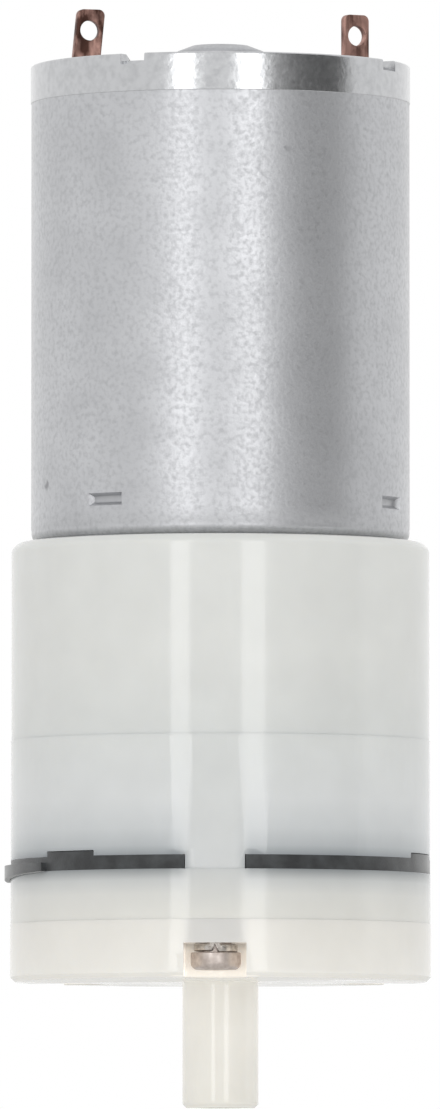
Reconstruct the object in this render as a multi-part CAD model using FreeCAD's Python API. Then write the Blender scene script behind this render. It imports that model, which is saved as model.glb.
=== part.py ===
import FreeCAD, Part
import math
import os

from FreeCAD import Vector

# Three-cup diaphragm air pump driven by a small permanent-magnet motor.
# Millimetres and degrees. +Z runs along the shaft towards the terminals, and -Y is the front.
# The origin is the middle of the motor can, which is what a clamp holds.
# An azimuth is counted about Z from the front (-Y) towards +X.

# Motor can: deep-drawn steel cup, open at the terminal end
CAN_R = 12.2
CAN_LENGTH = 30.8
CAN_WALL = 0.9
CAN_FRONT_WALL = 1.0
CAN_CORNER_CHAMFER = 0.53
RIM_NOTCH_WIDTH = 1.7
RIM_NOTCH_DEPTH = 0.5
RIM_NOTCH_AZIMUTHS = (49, 139, 229, 319)
STAKE_REACH = 0.6
STAKE_HEIGHT = 0.2
DENT_WIDTH = 2.7
DENT_HEIGHT = 0.8
DENT_DEPTH = 0.35
DENT_LEVEL = 2.17
DENT_AZIMUTHS = (-51, 51, 129, 231)
MOTOR_CLOCK = 15
FRONT_BOSS_R = 3.05
FRONT_BOSS_HEIGHT = 1.5

# Terminal end: end plate with a bearing cup, insulating brush holder, two tabs
PLATE_THICKNESS = 1.0
CUP_BASE_R = 3.15
CUP_SHOULDER_R = 2.95
CUP_SHOULDER = 0.42
CUP_TOP_R = 1.85
CUP_HEIGHT = 1.35
CUP_ROOF = 0.5
HOLDER_DROP = 0.1
HOLDER_THICKNESS = 2.0
HOLDER_GAP = 0.4
HOLDER_BORE_R = 3.3
HOLDER_BOSS_R = 1.7
TERMINAL_INSET = 2.35
TERMINAL_WIDTH = 1.8
TERMINAL_THICKNESS = 0.5
TERMINAL_HEIGHT = 3.55
TERMINAL_TAIL = 7.2
TERMINAL_HOLE_R = 0.65
TERMINAL_HOLE_DROP = 1.36
TERMINAL_ROUND = 0.4
TERMINAL_AZIMUTHS = {"terminal_positive": 90, "terminal_negative": 270}
TERMINAL_TWIST_ANGLES = {"terminal_positive": 17, "terminal_negative": 5}
TERMINAL_LEAN_ANGLES = {"terminal_positive": 0, "terminal_negative": 6}

# Brushes and commutator
COMMUTATOR_R = 2.6
COMMUTATOR_HUB_R = 1.9
COMMUTATOR_DROP = 1.0
COMMUTATOR_LENGTH = 4.1
COMMUTATOR_FLANGE_R = 3.1
COMMUTATOR_FLANGE = 0.5
COMMUTATOR_NECK_R = 1.7
COMMUTATOR_SLOT = 0.35
COMMUTATOR_HOOK = 0.8
BRUSH_WIDTH = 2.4
BRUSH_DEPTH = 1.6
BRUSH_HEIGHT = 2.2
ARM_THICKNESS = 0.3
ARM_HEIGHT = 2.2
ARM_BEND = 0.6

# Magnets and their spring clip
MAGNET_THICKNESS = 3.25
MAGNET_HALF_ANGLE = 58
MAGNET_LENGTH = 18.8
MAGNET_AZIMUTHS = {"magnet_front": 0, "magnet_rear": 180}
CLIP_THICKNESS = 0.7
CLIP_LEG = 1.3
CLIP_SIDE_GAP = 0.25

# Rotor: shaft, three-pole stack, coils
SHAFT_R = 1.0
SHAFT_BELOW_CAN = 5.2
SHAFT_ABOVE_RIM = 0.75
BEARING_R = 2.5
BEARING_LENGTH = 2.5
REAR_BEARING_R = 2.25
REAR_BEARING_LENGTH = 1.9
STACK_LEVEL = 6.5
STACK_TO_BARS = 2.6
AIR_GAP = 0.4
POLE_AZIMUTHS = (30, 150, 270)
POLE_HUB_R = 3.2
POLE_WEB = 2.6
POLE_SHOE_THICKNESS = 1.4
POLE_SHOE_HALF_ANGLE = 52
INSULATOR_THICKNESS = 0.5
COIL_INNER_R = 3.35
COIL_HALF_WIDTH = 3.0
COIL_OVERHANG = 1.6
COIL_GAP = 0.1
SPACER_R = 2.0
WASHER_R = 2.4
WASHER_THICKNESS = 0.4

# Pump head: clear mouldings stacked on the can's front face
HEAD_R = 13.55
SLICE_STEP = 0.03
CRANK_CASE_HEIGHT = 12.75
CUP_SEAT_HEIGHT = 7.7
FLANGE_THICKNESS = 0.9
VALVE_PLATE_HEIGHT = 3.2
COVER_HEIGHT = 3.7
CASE_TOP_WALL = 2.0
CASE_SIDE_WALL = 1.55
CASE_TOP_CHAMFER = 0.45
SCREW_INSET = 2.25
SCREW_AZIMUTHS = (0, 120, 240)
SCREW_R = 1.0
SCREW_LENGTH = 20.0
SCREW_HEAD_R = 1.6
SCREW_HEAD_HEIGHT = 1.1
SCREW_HEAD_CHAMFER = 0.25
COLUMN_R = 2.0
HOLE_CLEARANCE = 0.15
MOTOR_SCREW_CIRCLE_R = 8.0
MOTOR_SCREW_AZIMUTHS = (135, 315)
MOTOR_SCREW_R = 1.25
MOTOR_SCREW_HEAD_R = 2.2
MOTOR_SCREW_HEAD_HEIGHT = 1.5

# Wobble drive: the crank pin's axis crosses Z at the pivot, this far below the joint
TILT = 7.0
PIVOT_DROP = 14.65
CRANK_R = 4.2
CRANK_COLLAR_R = 2.6
CRANK_TOP_DROP = 1.9
CRANK_STEP_DROP = 4.0
CRANK_BOTTOM_DROP = 8.3
CRANK_FLAT = 2.8
PIN_R = 0.75
PIN_LOW = 3.3
PIN_HIGH = 8.8
PIN_SEAT = 6.0
WOBBLE_HUB_R = 2.3
WOBBLE_HUB_LOW = 2.6
WOBBLE_HUB_HIGH = 5.6
WOBBLE_FLOOR = 3.2
ARM_PLATE_LOW = 3.3
ARM_PLATE_HIGH = 4.8
ARM_PLATE_R = 4.2
ARM_WIDTH = 3.6
ARM_END_R = 2.2
ARM_RIB_WIDTH = 0.8
ARM_RIB_HIGH = 5.4
ARM_RIB_REACH = 5.2
COLLAR_LOW = 2.1

# Diaphragm: one rubber moulding with three cups
CUP_AZIMUTHS = (60, 180, 300)
SEAT_SIDE_WALL = 1.3
SEAT_WEB = 1.35
CUP_SIDE_GAP = 0.4
CUP_WALL = 0.7
CUP_FOLD_HEIGHT = 4.0
CUP_CROWN_THICKNESS = 1.5
STEM_R = 0.9
KNOB_R = 1.35
KNOB_HEIGHT = 1.4
LUG_WIDTH = 3.8
LUG_GAP = 0.05
KEY_AZIMUTHS = (-44.5, 75.5, 195.5)
KEY_HALF_ANGLE = 9
KEY_HEIGHT = 0.3
KEY_DEPTH = 1.6
EAR_AZIMUTH = -76
EAR_HALF_ANGLE = 22
EAR_PROUD = 0.41
EAR_RISE = 0.55
EAR_DROP = 0.45
EAR_SLOPE = 2.6

# Valves in the valve plate
OUTLET_HOLE_R = 0.5
OUTLET_HOLE_INSET = 0.2
OUTLET_FLAP_OVERLAP = 0.5
OUTLET_FLAP_THICKNESS = 0.4
INLET_HOLE_OFFSET = 0.9
INLET_HOLE_R = 0.75
TONGUE_WIDTH = 2.6
TONGUE_THICKNESS = 0.4
TONGUE_PAST_CENTRE = 0.3
VALVE_STEM_R = 0.5
VALVE_BULB_R = 0.8
VALVE_BULB_HEIGHT = 0.7
BULB_POCKET_R = 1.1
BULB_POCKET_DEPTH = 1.0

# Cover with the outlet nozzle
OUTLET_CHAMBER_GAP = 0.6
OUTLET_CHAMBER_DEPTH = 1.6
RING_LAND = 0.3
GALLERY_GAP = 0.15
GALLERY_DEPTH = 2.4
RING_WIDTH = 0.7
RING_GROOVE_DEPTH = 0.6
INLET_PORT_R = 0.6
INLET_PORT_RISE = 0.1
INLET_PORT_AZIMUTH = 180
POCKET_WIDTH = 4.0
POCKET_DEPTH = 2.2
COVER_CHAMFER = 0.3
NOZZLE_R = 2.45
NOZZLE_LENGTH = 8.1
NOZZLE_BORE_R = 1.35
NOZZLE_TIP_CHAMFER = 0.25
LOCK_WASHER_THICKNESS = 0.6
LOCK_WASHER_R = 1.4
LOCK_WASHER_SPLIT = 0.25

# Clearances: pressed or moulded together, turning, and plain
PRESS_GAP = 0.02
RUNNING_GAP = 0.03
FIT_GAP = 0.05

ORIGIN = Vector(0, 0, 0)
Z = Vector(0, 0, 1)

# Levels along Z that the sizes above give
JOINT = -CAN_LENGTH / 2
RIM = CAN_LENGTH / 2
PLATE_TOP = RIM - RIM_NOTCH_DEPTH
PLATE_BOTTOM = PLATE_TOP - PLATE_THICKNESS
HOLDER_TOP = PLATE_BOTTOM - HOLDER_DROP
HOLDER_BOTTOM = HOLDER_TOP - HOLDER_THICKNESS
CUP_TOP = RIM + CUP_HEIGHT
REAR_BEARING_TOP = PLATE_BOTTOM + REAR_BEARING_LENGTH - HOLDER_DROP
MAGNET_BOTTOM = JOINT + DENT_LEVEL + DENT_HEIGHT / 2 + FIT_GAP
BARS_TOP = HOLDER_BOTTOM - COMMUTATOR_DROP
BARS_BOTTOM = BARS_TOP - COMMUTATOR_LENGTH
STACK_BOTTOM = JOINT + STACK_LEVEL
STACK_TOP = BARS_BOTTOM - STACK_TO_BARS
BRUSH_MIDDLE = (BARS_BOTTOM + COMMUTATOR_HOOK + BARS_TOP) / 2
CASE_BOTTOM = JOINT - CRANK_CASE_HEIGHT
SEAT_BOTTOM = CASE_BOTTOM - CUP_SEAT_HEIGHT
FLANGE_BOTTOM = SEAT_BOTTOM - FLANGE_THICKNESS
VALVE_PLATE_BOTTOM = FLANGE_BOTTOM - VALVE_PLATE_HEIGHT
COVER_BOTTOM = VALVE_PLATE_BOTTOM - COVER_HEIGHT
NOZZLE_TIP = COVER_BOTTOM - NOZZLE_LENGTH
PIVOT = Vector(0, 0, JOINT - PIVOT_DROP)
POCKET_CEILING = COVER_BOTTOM + POCKET_DEPTH
SCREW_SEAT = POCKET_CEILING - LOCK_WASHER_THICKNESS
SCREW_TOP = SCREW_SEAT + SCREW_LENGTH

# Radii in the motor that the sizes above give
CAN_BORE_R = CAN_R - CAN_WALL
HOLDER_R = CAN_BORE_R - HOLDER_GAP
TERMINAL_R = CAN_BORE_R - TERMINAL_INSET
MAGNET_OUTER_R = CAN_BORE_R - FIT_GAP
MAGNET_INNER_R = MAGNET_OUTER_R - MAGNET_THICKNESS
ROTOR_R = MAGNET_INNER_R - AIR_GAP
POLE_SHOE_INNER_R = ROTOR_R - POLE_SHOE_THICKNESS
BAR_ANGLE = 360 / len(POLE_AZIMUTHS)

# Radii in the head that the sizes above give
COVER_R = HEAD_R
VALVE_PLATE_R = COVER_R - SLICE_STEP
SEAT_R = VALVE_PLATE_R - SLICE_STEP
CASE_R = SEAT_R - SLICE_STEP
CASE_BORE_R = CASE_R - CASE_SIDE_WALL
SCREW_CIRCLE_R = HEAD_R - SCREW_INSET
CUP_REACH = SEAT_R - SEAT_SIDE_WALL
CUP_SPREAD = 2 * math.sin(math.pi / len(CUP_AZIMUTHS))
CUP_BORE_R = (CUP_SPREAD * CUP_REACH - SEAT_WEB) / (2 + CUP_SPREAD)
CUP_CIRCLE_R = CUP_REACH - CUP_BORE_R
CUP_INNER_R = CUP_BORE_R - CUP_SIDE_GAP - CUP_WALL
OUTLET_HOLE_CIRCLE_R = CUP_CIRCLE_R - CUP_INNER_R + OUTLET_HOLE_INSET + OUTLET_HOLE_R
OUTLET_FLAP_R = OUTLET_HOLE_CIRCLE_R + OUTLET_HOLE_R + OUTLET_FLAP_OVERLAP
OUTLET_CHAMBER_R = OUTLET_FLAP_R + OUTLET_CHAMBER_GAP
SEAL_RING_R = OUTLET_CHAMBER_R + RING_LAND + RING_WIDTH / 2
GALLERY_INNER_R = SEAL_RING_R + RING_WIDTH / 2 + RING_LAND
INLET_CIRCLE_R = CUP_CIRCLE_R + INLET_HOLE_OFFSET
GALLERY_OUTER_R = INLET_CIRCLE_R + INLET_HOLE_R + GALLERY_GAP


def at(radius, azimuth, z=0.0):
    """Point at a distance from the Z axis."""
    angle = math.radians(azimuth)
    return Vector(radius * math.sin(angle), -radius * math.cos(angle), z)


def turned_to(shape, azimuth):
    """The shape made at the front, turned about Z to an azimuth."""
    return shape.rotated(ORIGIN, Z, azimuth)


def rod(radius, low, high, centre=ORIGIN):
    """Upright cylinder between two levels."""
    return Part.makeCylinder(radius, high - low, Vector(centre.x, centre.y, low))


def slab(width, near, far, low, high):
    """Box across the front: width along X, from near to far in front of the axis."""
    return Part.makeBox(width, far - near, high - low, Vector(-width / 2, -far, low))


def outline(points, rounds=None):
    """Closed wire through the points. rounds gives the radius of a tangent arc at a corner."""
    rounds = rounds or {}
    arrive = list(points)
    leave = list(points)
    middle = {}
    for i, radius in rounds.items():
        corner = points[i]
        back = points[i - 1] - corner
        ahead = points[(i + 1) % len(points)] - corner
        half = back.getAngle(ahead) / 2
        back = back * (1 / back.Length)
        ahead = ahead * (1 / ahead.Length)
        inward = (back + ahead) * (1 / (back + ahead).Length)
        arrive[i] = corner + back * (radius / math.tan(half))
        leave[i] = corner + ahead * (radius / math.tan(half))
        middle[i] = corner + inward * (radius / math.sin(half) - radius)
    edges = []
    for i, corner in enumerate(points):
        if i in middle:
            edges.append(Part.Arc(arrive[i], middle[i], leave[i]).toShape())
        after = arrive[(i + 1) % len(points)]
        if (after - leave[i]).Length > 1e-6:
            edges.append(Part.makeLine(leave[i], after))
    return Part.Wire(edges)


def turned(points, mid=0.0, sweep=360.0):
    """Solid turned about Z from (radius, level) points, its middle at an azimuth."""
    wire = outline([Vector(0, -r, z) for r, z in points])
    solid = Part.Face(wire).revolve(ORIGIN, Z, sweep)
    if solid.Volume < 0:
        solid.reverse()
    return turned_to(solid, mid - sweep / 2)


def ring(inner, outer, low, high, mid=0.0, sweep=360.0):
    """Tube, or a sector of one about its middle azimuth."""
    return turned([(inner, low), (outer, low), (outer, high), (inner, high)], mid, sweep)


def prism(points, rounds, low, high):
    """Upright solid over a plan of (x, y) points."""
    wire = outline([Vector(x, y, low) for x, y in points], rounds)
    return Part.Face(wire).extrude(Z * (high - low))


def joined(shapes):
    """The shapes fused into one clean solid."""
    return shapes[0].fuse(shapes[1:]).removeSplitter()


def around(shape, azimuths):
    """Copies of a front shape at each azimuth."""
    return [turned_to(shape, azimuth) for azimuth in azimuths]


def tilted(shape):
    """A shape built upright over the pivot, leant with the crank pin."""
    return shape.rotated(PIVOT, Vector(0, 1, 0), TILT)


def over_pivot(height):
    """Level of a height along the wobble plate's own axis, before it leans."""
    return PIVOT.z + height


def screw_holes(radius, low, high):
    """Cutters for the three long screws."""
    return around(rod(radius, low, high, at(SCREW_CIRCLE_R, 0)), SCREW_AZIMUTHS)


def motor_can():
    """Drawn cup with a bearing boss, crimp stakes over the end plate, and magnet stops."""
    shell = turned([
        (BEARING_R + PRESS_GAP, JOINT - FRONT_BOSS_HEIGHT),
        (FRONT_BOSS_R, JOINT - FRONT_BOSS_HEIGHT),
        (FRONT_BOSS_R, JOINT),
        (CAN_R - CAN_CORNER_CHAMFER, JOINT),
        (CAN_R, JOINT + CAN_CORNER_CHAMFER),
        (CAN_R, RIM),
        (CAN_BORE_R, RIM),
        (CAN_BORE_R, JOINT + CAN_FRONT_WALL),
        (BEARING_R + PRESS_GAP, JOINT + CAN_FRONT_WALL),
    ])
    dent_low = JOINT + DENT_LEVEL - DENT_HEIGHT / 2
    dent_high = dent_low + DENT_HEIGHT
    stop = slab(DENT_WIDTH, CAN_BORE_R - DENT_DEPTH, CAN_R - DENT_DEPTH, dent_low, dent_high)
    dent = slab(DENT_WIDTH, CAN_R - DENT_DEPTH, CAN_R + 1, dent_low, dent_high)
    notch = slab(RIM_NOTCH_WIDTH, CAN_BORE_R - 1, CAN_R + 1, PLATE_TOP, RIM + 1)
    stake_top = PLATE_TOP + STAKE_HEIGHT
    stake = slab(RIM_NOTCH_WIDTH, CAN_BORE_R - STAKE_REACH, CAN_R - CAN_WALL / 2, PLATE_TOP, stake_top)
    thread = rod(MOTOR_SCREW_R + PRESS_GAP, JOINT - 1, JOINT + CAN_FRONT_WALL + 1, at(MOTOR_SCREW_CIRCLE_R, 0))
    shell = shell.fuse(around(stop, DENT_AZIMUTHS))
    shell = shell.cut(around(dent, DENT_AZIMUTHS) + around(notch, RIM_NOTCH_AZIMUTHS))
    shell = joined([shell] + around(stake, RIM_NOTCH_AZIMUTHS))
    return shell.cut(around(thread, MOTOR_SCREW_AZIMUTHS))


def end_plate():
    """Plate staked into the rim, with the rear bearing's cup drawn up in its middle."""
    plate = turned([
        (0, CUP_TOP),
        (CUP_TOP_R, CUP_TOP),
        (CUP_SHOULDER_R, CUP_TOP - CUP_SHOULDER),
        (CUP_BASE_R, PLATE_TOP),
        (CAN_BORE_R - PRESS_GAP, PLATE_TOP),
        (CAN_BORE_R - PRESS_GAP, PLATE_BOTTOM),
        (REAR_BEARING_R + PRESS_GAP, PLATE_BOTTOM),
        (REAR_BEARING_R + PRESS_GAP, REAR_BEARING_TOP),
        (SHAFT_R + HOLE_CLEARANCE, REAR_BEARING_TOP),
        (SHAFT_R + HOLE_CLEARANCE, CUP_TOP - CUP_ROOF),
        (0, CUP_TOP - CUP_ROOF),
    ])
    window = rod(HOLDER_BOSS_R + FIT_GAP, PLATE_BOTTOM - 1, PLATE_TOP + 1, at(TERMINAL_R, 90))
    return plate.cut([window, turned_to(window, 180)])


def brush_holder():
    """Insulating plate under the end plate, with a boss round each terminal."""
    holder = ring(HOLDER_BORE_R, HOLDER_R, HOLDER_BOTTOM, HOLDER_TOP)
    slot_width = TERMINAL_WIDTH + 2 * FIT_GAP
    slot_depth = TERMINAL_THICKNESS + 2 * FIT_GAP
    for azimuth in TERMINAL_AZIMUTHS.values():
        centre = at(TERMINAL_R, azimuth)
        holder = holder.fuse(rod(HOLDER_BOSS_R, HOLDER_TOP, RIM - HOLDER_DROP, centre))
        corner = Vector(centre.x - slot_width / 2, -slot_depth / 2, HOLDER_BOTTOM - 1)
        holder = holder.cut(Part.makeBox(slot_width, slot_depth, RIM - corner.z, corner))
    return holder


def terminal(azimuth, twist, lean):
    """Flat tab with a solder hole. Above the rim it is twisted and leans towards the axis."""
    half = TERMINAL_WIDTH / 2
    top = RIM + TERMINAL_HEIGHT
    shift = TERMINAL_HEIGHT * math.tan(math.radians(lean))
    front = -TERMINAL_THICKNESS / 2
    blade_wire = outline([
        Vector(-half, front, RIM - HOLDER_DROP),
        Vector(half, front, RIM - HOLDER_DROP),
        Vector(half + shift, front, top),
        Vector(shift - half, front, top),
    ], {2: TERMINAL_ROUND, 3: TERMINAL_ROUND})
    blade = Part.Face(blade_wire).extrude(Vector(0, TERMINAL_THICKNESS, 0))
    hole_shift = shift * (TERMINAL_HEIGHT - TERMINAL_HOLE_DROP) / TERMINAL_HEIGHT
    hole_centre = Vector(hole_shift, -1, top - TERMINAL_HOLE_DROP)
    blade = blade.cut(Part.makeCylinder(TERMINAL_HOLE_R, 2, hole_centre, Vector(0, 1, 0)))
    blade = blade.rotated(ORIGIN, Z, twist)
    tail = slab(TERMINAL_WIDTH, front, -front, RIM - TERMINAL_TAIL, RIM)
    tab = joined([tail, blade])
    centre = at(TERMINAL_R, azimuth)
    return tab.translated(centre)


def brush_arm(azimuth):
    """Leaf spring from a terminal's tail to the back of its brush, in the motor's own axes."""
    inner = TERMINAL_THICKNESS / 2
    back = COMMUTATOR_R + RUNNING_GAP + BRUSH_DEPTH + PRESS_GAP
    half = TERMINAL_WIDTH / 2
    near = [
        (TERMINAL_R + half, inner),
        (TERMINAL_R - 2 * half, inner),
        (BRUSH_WIDTH + 1, back),
        (-BRUSH_WIDTH, back),
    ]
    far = [(x, y + ARM_THICKNESS) for x, y in reversed(near)]
    bends = {1: ARM_BEND, 2: ARM_BEND, 5: ARM_BEND, 6: ARM_BEND}
    low = BRUSH_MIDDLE - ARM_HEIGHT / 2
    leaf = prism(near + far, bends, low, low + ARM_HEIGHT)
    return turned_to(leaf, azimuth - 90)


def carbon_brush(azimuth):
    """Carbon block hollowed to the commutator's curve."""
    near = COMMUTATOR_R - 0.5
    far = COMMUTATOR_R + RUNNING_GAP + BRUSH_DEPTH
    low = BRUSH_MIDDLE - BRUSH_HEIGHT / 2
    block = slab(BRUSH_WIDTH, near, far, low, low + BRUSH_HEIGHT)
    block = block.cut(rod(COMMUTATOR_R + RUNNING_GAP, low - 1, low + BRUSH_HEIGHT + 1))
    return turned_to(block, azimuth)


def magnet(azimuth):
    """Ferrite arc held against the can."""
    top = MAGNET_BOTTOM + MAGNET_LENGTH
    return ring(MAGNET_INNER_R, MAGNET_OUTER_R, MAGNET_BOTTOM, top, azimuth, 2 * MAGNET_HALF_ANGLE)


def magnet_clip():
    """U-shaped spring that spreads the two magnets apart."""
    side_angle = math.degrees(CLIP_SIDE_GAP / MAGNET_OUTER_R)
    half = 90 - MAGNET_HALF_ANGLE - side_angle
    leg_angle = math.degrees(CLIP_LEG / MAGNET_OUTER_R)
    top = MAGNET_BOTTOM + MAGNET_LENGTH - CLIP_LEG
    inner = MAGNET_OUTER_R - CLIP_THICKNESS
    clip = ring(inner, MAGNET_OUTER_R, MAGNET_BOTTOM, top, 90, 2 * half)
    window = ring(inner - 1, CAN_R, MAGNET_BOTTOM + CLIP_LEG, top + 1, 90, 2 * (half - leg_angle))
    return clip.cut(window)


def bearing(radius, low, high):
    """Sintered bush on the shaft."""
    return ring(SHAFT_R + RUNNING_GAP, radius, low, high)


def shaft():
    """Plain ground shaft from the crank to the rear bearing's cup."""
    return rod(SHAFT_R, JOINT - SHAFT_BELOW_CAN, RIM + SHAFT_ABOVE_RIM)


def pole_star(low, high):
    """Hub with a web out to each pole, between two levels."""
    web = slab(POLE_WEB, 0, POLE_SHOE_INNER_R + FIT_GAP, low, high)
    star = joined([rod(POLE_HUB_R, low, high)] + around(web, POLE_AZIMUTHS))
    return star.cut(rod(SHAFT_R + PRESS_GAP, low - 1, high + 1))


def rotor_core():
    """Three-pole stack of laminations with broad pole shoes."""
    shoe = ring(POLE_SHOE_INNER_R, ROTOR_R, STACK_BOTTOM, STACK_TOP, 0, 2 * POLE_SHOE_HALF_ANGLE)
    return joined([pole_star(STACK_BOTTOM, STACK_TOP)] + around(shoe, POLE_AZIMUTHS))


def rotor_coil(azimuth):
    """Winding round one pole's web, filling the space behind its shoe."""
    inner_half = POLE_WEB / 2 + COIL_GAP
    reach = STACK_TOP - STACK_BOTTOM + 2 * (INSULATOR_THICKNESS + COIL_OVERHANG)
    low = (STACK_BOTTOM + STACK_TOP - reach) / 2
    end = COIL_OVERHANG - COIL_GAP
    body = slab(2 * COIL_HALF_WIDTH, COIL_INNER_R, POLE_SHOE_INNER_R, low, low + reach)
    window = slab(2 * inner_half, 0, ROTOR_R, low + end, low + reach - end)
    body = body.cut(window)
    body = body.common(rod(POLE_SHOE_INNER_R - COIL_GAP, low - 1, low + reach + 1))
    return turned_to(body, azimuth)


def commutator_hub():
    """Moulded core with a flange below the bars and a neck up to the rear bearing."""
    neck_top = REAR_BEARING_TOP - REAR_BEARING_LENGTH - FIT_GAP
    return turned([
        (SHAFT_R + PRESS_GAP, BARS_BOTTOM - COMMUTATOR_FLANGE),
        (COMMUTATOR_FLANGE_R, BARS_BOTTOM - COMMUTATOR_FLANGE),
        (COMMUTATOR_FLANGE_R, BARS_BOTTOM),
        (COMMUTATOR_HUB_R, BARS_BOTTOM),
        (COMMUTATOR_HUB_R, BARS_TOP),
        (COMMUTATOR_NECK_R, BARS_TOP),
        (COMMUTATOR_NECK_R, neck_top),
        (SHAFT_R + PRESS_GAP, neck_top),
    ])


def commutator_bar(azimuth):
    """One copper segment with the hook that holds a coil's end."""
    inner = COMMUTATOR_HUB_R + PRESS_GAP
    half_slot = math.degrees(COMMUTATOR_SLOT / 2 / COMMUTATOR_R)
    bar = ring(inner, COMMUTATOR_R, BARS_BOTTOM, BARS_TOP, 0, BAR_ANGLE - 2 * half_slot)
    hook_reach = COMMUTATOR_R + COMMUTATOR_HOOK
    hook = slab(COMMUTATOR_HOOK, inner + FIT_GAP, hook_reach, BARS_BOTTOM + FIT_GAP, BARS_BOTTOM + COMMUTATOR_HOOK)
    return turned_to(joined([bar, hook]), azimuth)


def front_spacer():
    """Brass tube between the front thrust washer and the stack."""
    low = JOINT + CAN_FRONT_WALL + WASHER_THICKNESS + 2 * FIT_GAP
    return ring(SHAFT_R + PRESS_GAP, SPACER_R, low, STACK_BOTTOM - INSULATOR_THICKNESS - PRESS_GAP)


def thrust_washer():
    """Washer between the front bearing and the spacer."""
    low = JOINT + CAN_FRONT_WALL + FIT_GAP
    return ring(SHAFT_R + RUNNING_GAP, WASHER_R, low, low + WASHER_THICKNESS)


def crank_case():
    """Clear moulding under the can: round cavity, three screw columns, holes for the motor."""
    ceiling = JOINT - CASE_TOP_WALL
    case = turned([
        (0, JOINT),
        (CASE_R - CASE_TOP_CHAMFER, JOINT),
        (CASE_R, JOINT - CASE_TOP_CHAMFER),
        (CASE_R, CASE_BOTTOM),
        (CASE_BORE_R, CASE_BOTTOM),
        (CASE_BORE_R, ceiling),
        (0, ceiling),
    ])
    column = rod(COLUMN_R, CASE_BOTTOM, ceiling, at(SCREW_CIRCLE_R, 0))
    web = slab(2 * COLUMN_R, SCREW_CIRCLE_R, CASE_BORE_R + FIT_GAP, CASE_BOTTOM, ceiling)
    case = joined([case] + around(column, SCREW_AZIMUTHS) + around(web, SCREW_AZIMUTHS))
    case = case.cut(rod(FRONT_BOSS_R + FIT_GAP, ceiling - 1, JOINT + 1))
    case = case.cut(screw_holes(SCREW_R + PRESS_GAP, CASE_BOTTOM - 1, SCREW_TOP + FIT_GAP))
    motor_hole = rod(MOTOR_SCREW_R + HOLE_CLEARANCE, ceiling - 1, JOINT + 1, at(MOTOR_SCREW_CIRCLE_R, 0))
    return case.cut(around(motor_hole, motor_screw_azimuths()))


def motor_screw_azimuths():
    """The motor's tapped holes turn with the can."""
    return [azimuth + MOTOR_CLOCK for azimuth in MOTOR_SCREW_AZIMUTHS]


def motor_screws():
    """Two short screws up through the crank case into the can."""
    seat = JOINT - CASE_TOP_WALL
    head = rod(MOTOR_SCREW_HEAD_R, seat - MOTOR_SCREW_HEAD_HEIGHT, seat)
    screw = joined([head, rod(MOTOR_SCREW_R, seat, JOINT + CAN_FRONT_WALL)])
    screw = screw.translated(at(MOTOR_SCREW_CIRCLE_R, 0))
    return Part.makeCompound(around(screw, motor_screw_azimuths()))


def crank_hub():
    """Moulded hub on the shaft, with a slanted hole for the crank pin and one flattened side."""
    top = JOINT - CRANK_TOP_DROP
    step = JOINT - CRANK_STEP_DROP
    bottom = JOINT - CRANK_BOTTOM_DROP
    hub = turned([
        (0, top),
        (CRANK_COLLAR_R, top),
        (CRANK_COLLAR_R, step),
        (CRANK_R, step),
        (CRANK_R, bottom),
        (0, bottom),
    ])
    hub = hub.cut(rod(SHAFT_R + PRESS_GAP, JOINT - SHAFT_BELOW_CAN - PRESS_GAP, top + 1))
    flat = Part.makeBox(CRANK_R, 2 * CRANK_R, step - bottom + 2, Vector(CRANK_FLAT, -CRANK_R, bottom - 1))
    pin_hole = rod(PIN_R + PRESS_GAP, over_pivot(PIN_SEAT - 1), over_pivot(PIN_HIGH + PRESS_GAP))
    return hub.cut([flat, tilted(pin_hole)])


def crank_pin():
    """Slanted steel pin that the wobble plate turns on."""
    return tilted(rod(PIN_R, over_pivot(PIN_LOW), over_pivot(PIN_HIGH)))


def wobble_plate():
    """Hub with a blind bore for the crank pin, and three ribbed arms that hold the cups' stems."""
    low = over_pivot(ARM_PLATE_LOW)
    high = over_pivot(ARM_PLATE_HIGH)
    end = at(CUP_CIRCLE_R, 0)
    arm = slab(ARM_WIDTH, 0, CUP_CIRCLE_R, low, high)
    eye = rod(ARM_END_R, over_pivot(COLLAR_LOW), high, end)
    rib = slab(ARM_RIB_WIDTH, 0, ARM_RIB_REACH, low, over_pivot(ARM_RIB_HIGH))
    pieces = [
        rod(WOBBLE_HUB_R, over_pivot(WOBBLE_HUB_LOW), over_pivot(WOBBLE_HUB_HIGH)),
        rod(ARM_PLATE_R, low, high),
    ]
    for piece in (arm, eye, rib):
        pieces += around(piece, CUP_AZIMUTHS)
    plate = joined(pieces)
    bore = rod(PIN_R + RUNNING_GAP, over_pivot(WOBBLE_FLOOR), over_pivot(WOBBLE_HUB_HIGH + 1))
    stem_hole = rod(STEM_R + FIT_GAP, over_pivot(COLLAR_LOW - 1), high + 1, end)
    return tilted(plate.cut([bore] + around(stem_hole, CUP_AZIMUTHS)))


def lug_plan(width, low, high):
    """U-shaped boss round a screw, open to the outside wall."""
    nose = rod(width / 2, low, high, at(SCREW_CIRCLE_R, 0))
    body = slab(width, SCREW_CIRCLE_R, COVER_R + 1, low, high)
    return nose.fuse(body)


def key_sector(half_angle, inset, outer, low, high):
    """Block on the flange's rim, from its inner step to an outer radius."""
    return ring(SEAT_R - KEY_DEPTH - inset, outer, low, high, 0, 2 * half_angle)


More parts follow.
